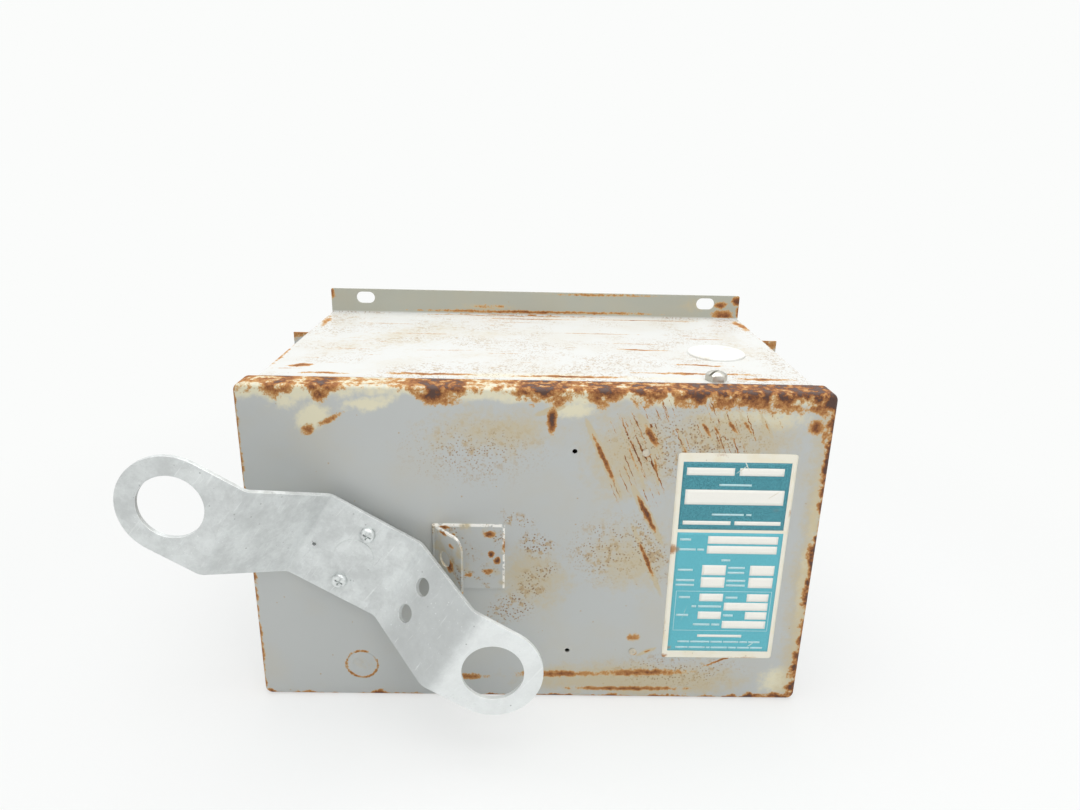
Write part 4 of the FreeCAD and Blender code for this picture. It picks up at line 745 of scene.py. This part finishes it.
class SWITCH_OT_cover(Piece, bpy.types.Operator):
    """Cover pan, its knockout, bracket, catch, hinge leaves, rivets and bushing."""
    bl_idname = "switch.cover"
    bl_label = "Cover"

    def execute(self, context):
        paint = settings().switch_paint
        f = Finish("Cover enamel")
        loose = f.warped(22, 9)
        cream = f.highest([f.step(f.total(f.axis(2), f.swing(f.noise(26, 3), 18)), 219, 229, 0.0, 0.75),
                           f.patches([(-168, 228, 36, 12, -20, 1.0), (-143, 213, 20, 13, 30, 1.0),
                                      (-104, 222, 36, 9, 8, 1.0), (24, 221, 28, 12, 0, 0.8),
                                      (140, 216, 66, 18, 0, 0.75), (186, 110, 9, 140, 0, 0.75),
                                      (176, 16, 26, 24, 0, 0.8)], "XZ", loose)])
        stain = f.patches([(64, 190, 60, 60, -24, 1.0), (124, 205, 80, 34, 0, 1.0),
                           (64, 116, 60, 56, -20, 0.85), (0, 100, 50, 52, 20, 0.8),
                           (70, 16, 150, 26, 0, 1.1), (-30, 205, 84, 32, 0, 0.9),
                           (-120, 27, 18, 16, 0, 0.6)], "XZ", loose)
        rust, halo = cover_rust(f)
        far_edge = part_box("cover_pan")[1].x / MM
        edge_stain = f.fringe(f.calc("SUBTRACT", far_edge, f.axis(0)), 26.0, 0.95)
        stains = f.highest([stain, f.times(halo, 1.25), edge_stain])
        coat = enamel(f, paint.enamel, rust, cream, stains, cover_specks(f))
        softened("cover_pan", paint.edge_radius, coat)
        softened("cover_knockout", 0.25 * MM, coat)

        f = Finish("Bracket enamel")
        tight = f.warped(4, 1.6)
        spots = f.highest([
            f.patches([(-30, 132, 7, 4, 0, 0.9), (-29, 117, 4, 4, 0, 0.85), (-25, 112, 4, 4.5, 0, 1.0),
                       (-31, 104, 6, 4, 0, 0.6), (-44, 101, 5, 3, 0, 0.55), (-60, 137, 6, 2, 0, 0.7),
                       (-20, 122, 2, 16, 0, 0.45), (-54, 131, 3.5, 3, 0, 0.5)], "XZ", tight),
            f.patches([(-84, 116, 5, 7, 0, 0.95), (-78, 96, 5, 5, 0, 0.5)], "YZ", tight)])
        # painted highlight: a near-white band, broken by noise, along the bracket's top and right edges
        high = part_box("padlock_bracket")[1] / MM
        painted_highlight_border = f.highest([f.step(f.axis(2), high.z - 1.8, high.z - 1.0),
                            f.step(f.axis(0), high.x - 1.8, high.x - 1.0)])
        base = f.mix(f.times(painted_highlight_border, f.step(f.noise(3, 3), 0.62, 0.52)), paint.enamel, tone(248, 246, 240))
        film = f.step(f.noise(16, 3), 0.58, 0.72, 0.0, 0.6)
        stain = f.step(f.noise(12, 3), 0.45, 0.7, 0.0, 0.7)
        specks = f.step(f.noise(14, 3), 0.4, 0.65, 0.0, 0.8)
        coat = enamel(f, base, spots, film, stain, specks)
        # painted highlight: the bevelled edges are near white, with brown worn spots
        rim = Finish("Bracket edge highlight")
        worn = rim.step(rim.noise(4, 3), 0.56, 0.66)
        rim.finish(rim.mix(worn, tone(246, 244, 236), tone(176, 152, 116)), 0.5)
        softened("padlock_bracket", 0.6 * MM, coat, rim.material)
        softened("hinge_leaf_cover", 0.2 * MM, coat)

        plated = plain_metal("Worn rivet zinc", tone(206, 198, 180), 0.40, 0.9, 0.4, 0.9)
        for node in ("nameplate_rivets", "cover_catch"):
            softened(node, 0.12 * MM, plated)
        softened("shaft_bushing", 0.2 * MM, plain_plastic("Nylon", settings().switch_plastic.nylon, 0.5))
        return {"FINISHED"}


# ---------------------------------------------------------------- rating plate
def film_height(x, z, low, high):
    """How far the film stands off the cover: ripples as a product of two sines, then two bubbles and three
    lifted corners as bell curves of the distance from their centres, all cut off at 0.3 mm."""
    values = settings().switch_label
    ripple = 0.05 * MM * (np.sin(x / 0.0113 + 1.4 * np.sin(z / 0.031)) * np.sin(z / 0.0172) + 1) / 2
    bubble = 0.05 * MM * (np.exp(-((x - 0.118) ** 2 + (z - 0.098) ** 2) / 0.007 ** 2)
                          + np.exp(-((x - 0.156) ** 2 + (z - 0.062) ** 2) / 0.006 ** 2))
    lift = sum(values.lift * np.exp(-(np.hypot(x - cx, z - cz) / 0.008) ** 2)
               for cx, cz in ((low.x, low.z), (low.x, high.z), (high.x, high.z)))
    return np.minimum(ripple + bubble + lift, 0.30 * MM)


def sheet_patch(x0, x1, z0, z1, stand, low, high, step=2.2 * MM):
    """Points and faces of a printed rectangle that follows the film, standing that far in front of it."""
    nx = max(2, int(math.ceil((x1 - x0) / step)) + 1)
    nz = max(2, int(math.ceil((z1 - z0) / step)) + 1)
    x, z = np.meshgrid(np.linspace(x0, x1, nx), np.linspace(z0, z1, nz), indexing="ij")
    y = high.y - film_height(x, z, low, high) - stand
    points = np.stack([x, y, z], axis=2).reshape(-1, 3)
    return points, grid_faces(nx, nz)


def grid_faces(nx, nz):
    """Squares between neighbouring points of a grid, wound to face the front."""
    i, j = np.meshgrid(np.arange(nx - 1), np.arange(nz - 1), indexing="ij")
    first = (i * nz + j).ravel()
    return np.stack([first, first + nz, first + nz + 1, first + 1], axis=1)


def printed(name, rows, stand, material, low, high, thickness):
    """One thin printed layer made of rectangles, each row x0, x1, z0, z1 in millimetres."""
    points, faces, count = [], [], 0
    for x0, x1, z0, z1 in rows:
        p, q = sheet_patch(x0 * MM, x1 * MM, z0 * MM, z1 * MM, stand, low, high)
        points.append(p)
        faces.append(q + count)
        count += len(p)
    return layer(name, np.concatenate(points), np.concatenate(faces), material, thickness)


def layer(name, points, faces, material, thickness):
    """One sheet of the rating plate, thickened towards the cover, that rides with it."""
    mesh = bpy.data.meshes.new(name)
    mesh.from_pydata(points, [], faces.tolist())
    mesh.shade_smooth()
    mesh.materials.append(material)
    piece = bpy.data.objects.new(name, mesh)
    bpy.context.scene.collection.objects.link(piece)
    thick = piece.modifiers.new("Thickness", "SOLIDIFY")
    thick.thickness = thickness
    thick.offset = -1.0
    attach(piece, "cover")
    return piece


def outline_boxes(x0, x1, z0, z1, line):
    """Four thin bars along a rectangle's sides."""
    return [(x0, x1, z0, z0 + line), (x0, x1, z1 - line, z1), (x0, x0 + line, z0, z1),
            (x1 - line, x1, z0, z1)]


def word_bars(x0, x1, z0, z1, lengths):
    """Plain bars in place of words: the lengths share the row, less a small part that the gaps share."""
    gaps = len(lengths) - 1
    blank = 0.06 if gaps else 0.0
    gap = (x1 - x0) * blank / max(1, gaps)
    unit = (x1 - x0) * (1 - blank) / sum(lengths)
    out, at = [], x0
    for length in lengths:
        out.append((at, at + unit * length, z0, z1))
        at += unit * length + gap
    return out


def ink(name, shade, paper, fine, wear):
    """Flat ink over paper: mottled tone, rubbed-off specks, thin scratches and a little rust stain."""
    f = Finish(name)
    grain = f.noise(0.55, 3, 0.7)
    slow = f.noise(15, 3)
    tint = f.mix(f.step(grain, 0.35, 0.65), tuple(c * (1 - fine) for c in shade),
                 tuple(min(1, c * (1 + 0.55 * fine) + 0.10 * fine) for c in shade))
    rubbed = f.step(f.total(f.noise(1.5, 4, 0.75), f.swing(slow, 0.35)), 0.72 - wear, 0.80 - wear, 0.0, 0.75)
    tint = f.mix(rubbed, tint, paper)
    scratch = f.strokes([(134, 190, 140, 178, 0.8, 0.9), (128, 176, 140, 186, 0.9, 0.8),
                         (150, 158, 164, 168, 0.7, 0.7), (112, 92, 118, 112, 0.4, 0.6),
                         (150, 44, 158, 50, 0.8, 0.7), (102, 60, 108, 84, 0.4, 0.5)], "XZ", f.warped(3, 0.4))
    tint = f.mix(f.step(scratch, 0.15, 0.5, 0.0, 0.85), tint, paper)
    stain = f.patches([(94, 122, 7, 6, 0, 0.9), (160, 152, 8, 4, 0, 0.35), (97, 44, 4, 3, 0, 0.6)], "XZ",
                      f.warped(3, 1.5))
    tint = f.mix(f.step(f.total(stain, f.swing(grain, 0.5)), 0.2, 0.8, 0.0, 0.75), tint, tone(176, 122, 62))
    return f.finish(tint, f.step(grain, 0.3, 0.7, 0.30, 0.42), 0.0, f.bump(f.noise(6, 2), 0.03 * MM, 0.5))


class SWITCH_OT_label(Piece, bpy.types.Operator):
    """Rating plate: a film with two printed blocks, blank boxes and plain bars."""
    bl_idname = "switch.label"
    bl_label = "Rating plate"

    def execute(self, context):
        values = settings().switch_label
        low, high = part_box("rating_label")
        f = Finish("Plate film")
        stained = f.patches([(92, 122, 9, 7, 0, 1.0), (93, 37, 5, 4, 0, 0.9), (150, 36, 26, 2.4, 0, 0.6),
                             (120, 191, 12, 3, 0, 0.5), (92, 60, 2, 26, 0, 0.45), (169, 150, 2, 8, 0, 0.6)],
                            "XZ", f.warped(4, 2))
        grain = f.noise(0.9, 4, 0.7)
        paper = f.mix(f.step(f.noise(12, 4, 0.6), 0.45, 0.75, 0.0, 0.35), values.film, tone(232, 214, 166))
        paper = f.mix(f.step(f.total(stained, f.swing(grain, 0.8)), 0.25, 0.9, 0.0, 0.9), paper,
                      tone(172, 116, 58))
        paper = f.mix(f.step(f.cells(6.5), 0.09, 0.03, 0.0, 0.6), paper, tone(120, 92, 60))
        film = f.finish(paper, f.step(grain, 0.3, 0.7, 0.30, 0.45), 0.0,
                        f.bump(f.noise(7, 2), 0.03 * MM, 0.5))

        # rounded sheet: each row of points is as wide as the plate with its corner arcs taken off
        nx, nz, corner = 46, 88, 2.0 * MM
        share = np.linspace(-1, 1, nz)
        half_w, half_h = (high.x - low.x) / 2, (high.z - low.z) / 2
        rise = half_h * np.sign(share) * (1 - (1 - np.abs(share)) ** 1.35)
        over = np.clip((np.abs(rise) - (half_h - corner)) / corner, 0, 1)
        wide = half_w - corner + corner * np.sqrt(np.maximum(0, 1 - over ** 2))
        x = (low.x + high.x) / 2 + np.linspace(-1, 1, nx)[:, None] * wide[None, :]
        z = np.broadcast_to((low.z + high.z) / 2 + rise, x.shape)
        thick = values.film_thickness
        y = high.y - thick - film_height(x, z, low, high)
        points = np.stack([x, y, z], axis=2).reshape(-1, 3)
        base = layer("Rating_plate_film", points, grid_faces(nx, nz), film, thick)
        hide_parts("rating_label")

        cream = values.film
        dark = ink("Dark ink", values.dark_ink, cream, 0.42, 0.0)
        pale = ink("Light ink", values.light_ink, cream, 0.10, -0.05)
        small = ink("Small print", values.small_print, values.light_ink, 0.10, 0.05)
        blank = ink("Blank boxes", tone(246, 244, 236), tone(214, 206, 180), 0.03, 0.0)
        face = thick + 0.02 * MM
        raised = face + 0.05 * MM
        ply = 0.03 * MM
        printed("Rating_plate_upper_block", [(95.6, 166.4, 137.2, 186.0)], face, dark, low, high, ply)
        printed("Rating_plate_lower_block", [(95.6, 166.8, 41.4, 134.9)], face, pale, low, high, ply)
        boxes = [(98.4, 163.8, 155.6, 166.4), (116.5, 163.8, 126.6, 132.4), (116.5, 163.8, 119.2, 125.1),
                 (114.5, 130.8, 102.6, 110.3), (147.2, 163.9, 102.6, 110.3), (114.5, 130.8, 92.9, 100.9),
                 (147.2, 163.9, 92.9, 100.9), (114.6, 130.9, 82.0, 88.0), (147.4, 162.4, 82.0, 88.0),
                 (132.2, 162.6, 74.8, 81.0), (114.7, 130.9, 67.7, 73.7), (147.6, 162.6, 67.7, 73.7),
                 (132.2, 162.6, 60.3, 66.3)]
        printed("Rating_plate_boxes", boxes, raised, blank, low, high, ply)
        heads = [(98.2, 129.5, 176.6, 182.0), (132.8, 162.0, 176.6, 182.0), (98.4, 130.4, 140.8, 143.6),
                 (133.0, 163.9, 140.8, 143.6), (115.8, 146.9, 53.0, 55.0)]
        printed("Rating_plate_heading_bars", heads, raised, blank, low, high, ply)
        rows = [(120.2, 141.6, 169.2, 170.6, (1,)), (117.3, 143.7, 147.7, 149.1, (6, 1)),
                (97.7, 105.2, 128.8, 130.4, (1,)), (97.5, 114.5, 121.3, 122.9, (5, 2)),
                (127.0, 133.1, 113.4, 114.9, (1,)), (98.0, 108.2, 105.6, 107.2, (1,)),
                (132.2, 143.6, 107.6, 109.2, (1,)), (132.2, 143.6, 103.8, 105.4, (1,)),
                (97.4, 110.0, 97.6, 99.2, (1,)), (97.4, 110.0, 93.9, 95.5, (1,)),
                (132.0, 145.0, 97.6, 99.2, (1,)), (132.0, 145.0, 93.9, 95.5, (1,)),
                (100.4, 108.2, 84.2, 85.9, (1,)), (132.8, 141.0, 84.2, 85.9, (1,)),
                (109.8, 130.4, 77.0, 78.7, (1, 5)), (99.6, 108.0, 69.9, 71.6, (1,)),
                (132.4, 139.2, 69.9, 71.6, (1,)), (112.0, 130.6, 62.4, 64.1, (4, 2)),
                (102.3, 160.4, 48.4, 49.8, (3, 5, 3, 4, 2, 3)),
                (101.2, 162.6, 43.7, 45.1, (3, 4, 1, 4, 2, 3, 3))]
        bars = [bar for x0, x1, z0, z1, shares in rows for bar in word_bars(x0, x1, z0, z1, shares)]
        bars += outline_boxes(98.2, 164.4, 58.2, 90.0, 0.35)
        printed("Rating_plate_small_bars", bars, raised, small, low, high, ply)
        return {"FINISHED"}


class SWITCH_OT_lever(Piece, bpy.types.Operator):
    """Bent eye lever of galvanised steel, its hub and its two screws."""
    bl_idname = "switch.lever"
    bl_label = "Lever"

    def execute(self, context):
        metal = settings().switch_metal
        base, light = metal.galvanised, metal.galvanised_light
        coat = zinc_coat("Lever zinc", base, light, 0.46, 0.30)
        # painted highlight: the bevelled edges get a copy of the zinc in the bright fleck colour
        edge = zinc_coat("Lever edge highlight", scaled(light, 0.97), light, 0.42, 0.30, 3.0)
        softened("handle_lever", 0.55 * MM, coat, edge)
        plated = plain_metal("Screw zinc", metal.galvanised, 0.36, 0.7, 0.6, 0.8)
        softened("handle_screws", 0.18 * MM, plated)
        softened("handle_shaft", 0.12 * MM, coat)
        hub = zinc_coat("Hub zinc", base, light, 0.46, 0.35, 3.5)
        softened("handle_hub", 0.25 * MM, hub)
        return {"FINISHED"}


class SWITCH_OT_rest(Piece, bpy.types.Operator):
    """Everything inside and behind, each in its own finish."""
    bl_idname = "switch.rest"
    bl_label = "Inner works"

    def execute(self, context):
        metal, plastic = settings().switch_metal, settings().switch_plastic
        made = {"zinc_plated_steel": plain_metal("Zinc plate", metal.zinc, 0.35, 1.6, 0.9),
                "spring_steel": plain_metal("Spring steel", metal.spring, 0.36, 1.0),
                "copper_alloy": plain_metal("Copper alloy", metal.copper, 0.30, 2.0, 1.0, 0.65),
                "tinned_aluminium": plain_metal("Tinned aluminium", metal.tin, 0.36, 1.8),
                "red_phenolic": plain_plastic("Red phenolic", plastic.red, 0.38),
                "black_phenolic": plain_plastic("Black phenolic", plastic.black, 0.42),
                "fibre_sheet": plain_plastic("Fibre sheet", plastic.fibre, 0.72, 0.5, 0.5),
                "fuse_fibre": plain_plastic("Fuse fibre", plastic.tube, 0.60, 0.6, 0.3)}
        soft = {"release_screw", "ground_stab", "ground_lug", "bus_stab_1", "bus_stab_2", "bus_stab_3",
                "stab_base", "switch_base", "load_lugs", "fuse_ferrules", "switch_blade_1",
                "switch_blade_2", "switch_blade_3", "arc_chutes", "crossbar", "drive_slide", "handle_crank",
                "phase_barriers", "release_cam"}
        for row in frame["record"]["subparts"]:
            node, slot = row["node"], row["material_slot"]
            if frame["nodes"][node].hide_render:
                continue
            if node in soft:
                softened(node, 0.2 * MM, made[slot])
            elif node == "drive_spring":
                coil = softened(node, 0, made[slot])
                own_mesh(coil)
            else:
                repaint(node, made[slot])
        return {"FINISHED"}


class SWITCH_PT_panel(bpy.types.Panel):
    """Sidebar panel with every piece's button and the settings."""
    bl_idname = "SWITCH_PT_panel"
    bl_label = "Disconnect switch"
    bl_space_type = "VIEW_3D"
    bl_region_type = "UI"
    bl_category = "Disconnect"

    def draw(self, context):
        for operator in OPERATORS:
            self.layout.operator(operator.bl_idname)
        for name, group in GROUPS.items():
            values = getattr(context.scene, name)
            for key in group.__annotations__:
                self.layout.prop(values, key)


GROUPS = {"switch_paint": PaintSettings, "switch_metal": MetalSettings, "switch_plastic": PlasticSettings,
          "switch_label": LabelSettings, "switch_stage": StageSettings}
OPERATORS = (SWITCH_OT_stage, SWITCH_OT_enclosure, SWITCH_OT_cover, SWITCH_OT_label, SWITCH_OT_lever,
             SWITCH_OT_rest)


def register():
    """Register the settings, then the operators and the panel."""
    for group in GROUPS.values():
        bpy.utils.register_class(group)
    for name, group in GROUPS.items():
        setattr(bpy.types.Scene, name, PointerProperty(type=group))
    for operator in (*OPERATORS, SWITCH_PT_panel):
        bpy.utils.register_class(operator)


def unregister():
    """Take back what register did, in reverse order."""
    for operator in (SWITCH_PT_panel, *reversed(OPERATORS)):
        bpy.utils.unregister_class(operator)
    for name in GROUPS:
        delattr(bpy.types.Scene, name)
    for group in reversed(GROUPS.values()):
        bpy.utils.unregister_class(group)


def main():
    """Build every piece in order."""
    register()
    for operator in OPERATORS:
        family, action = operator.bl_idname.split(".")
        getattr(getattr(bpy.ops, family), action)()


if __name__ == "__main__":
    main()
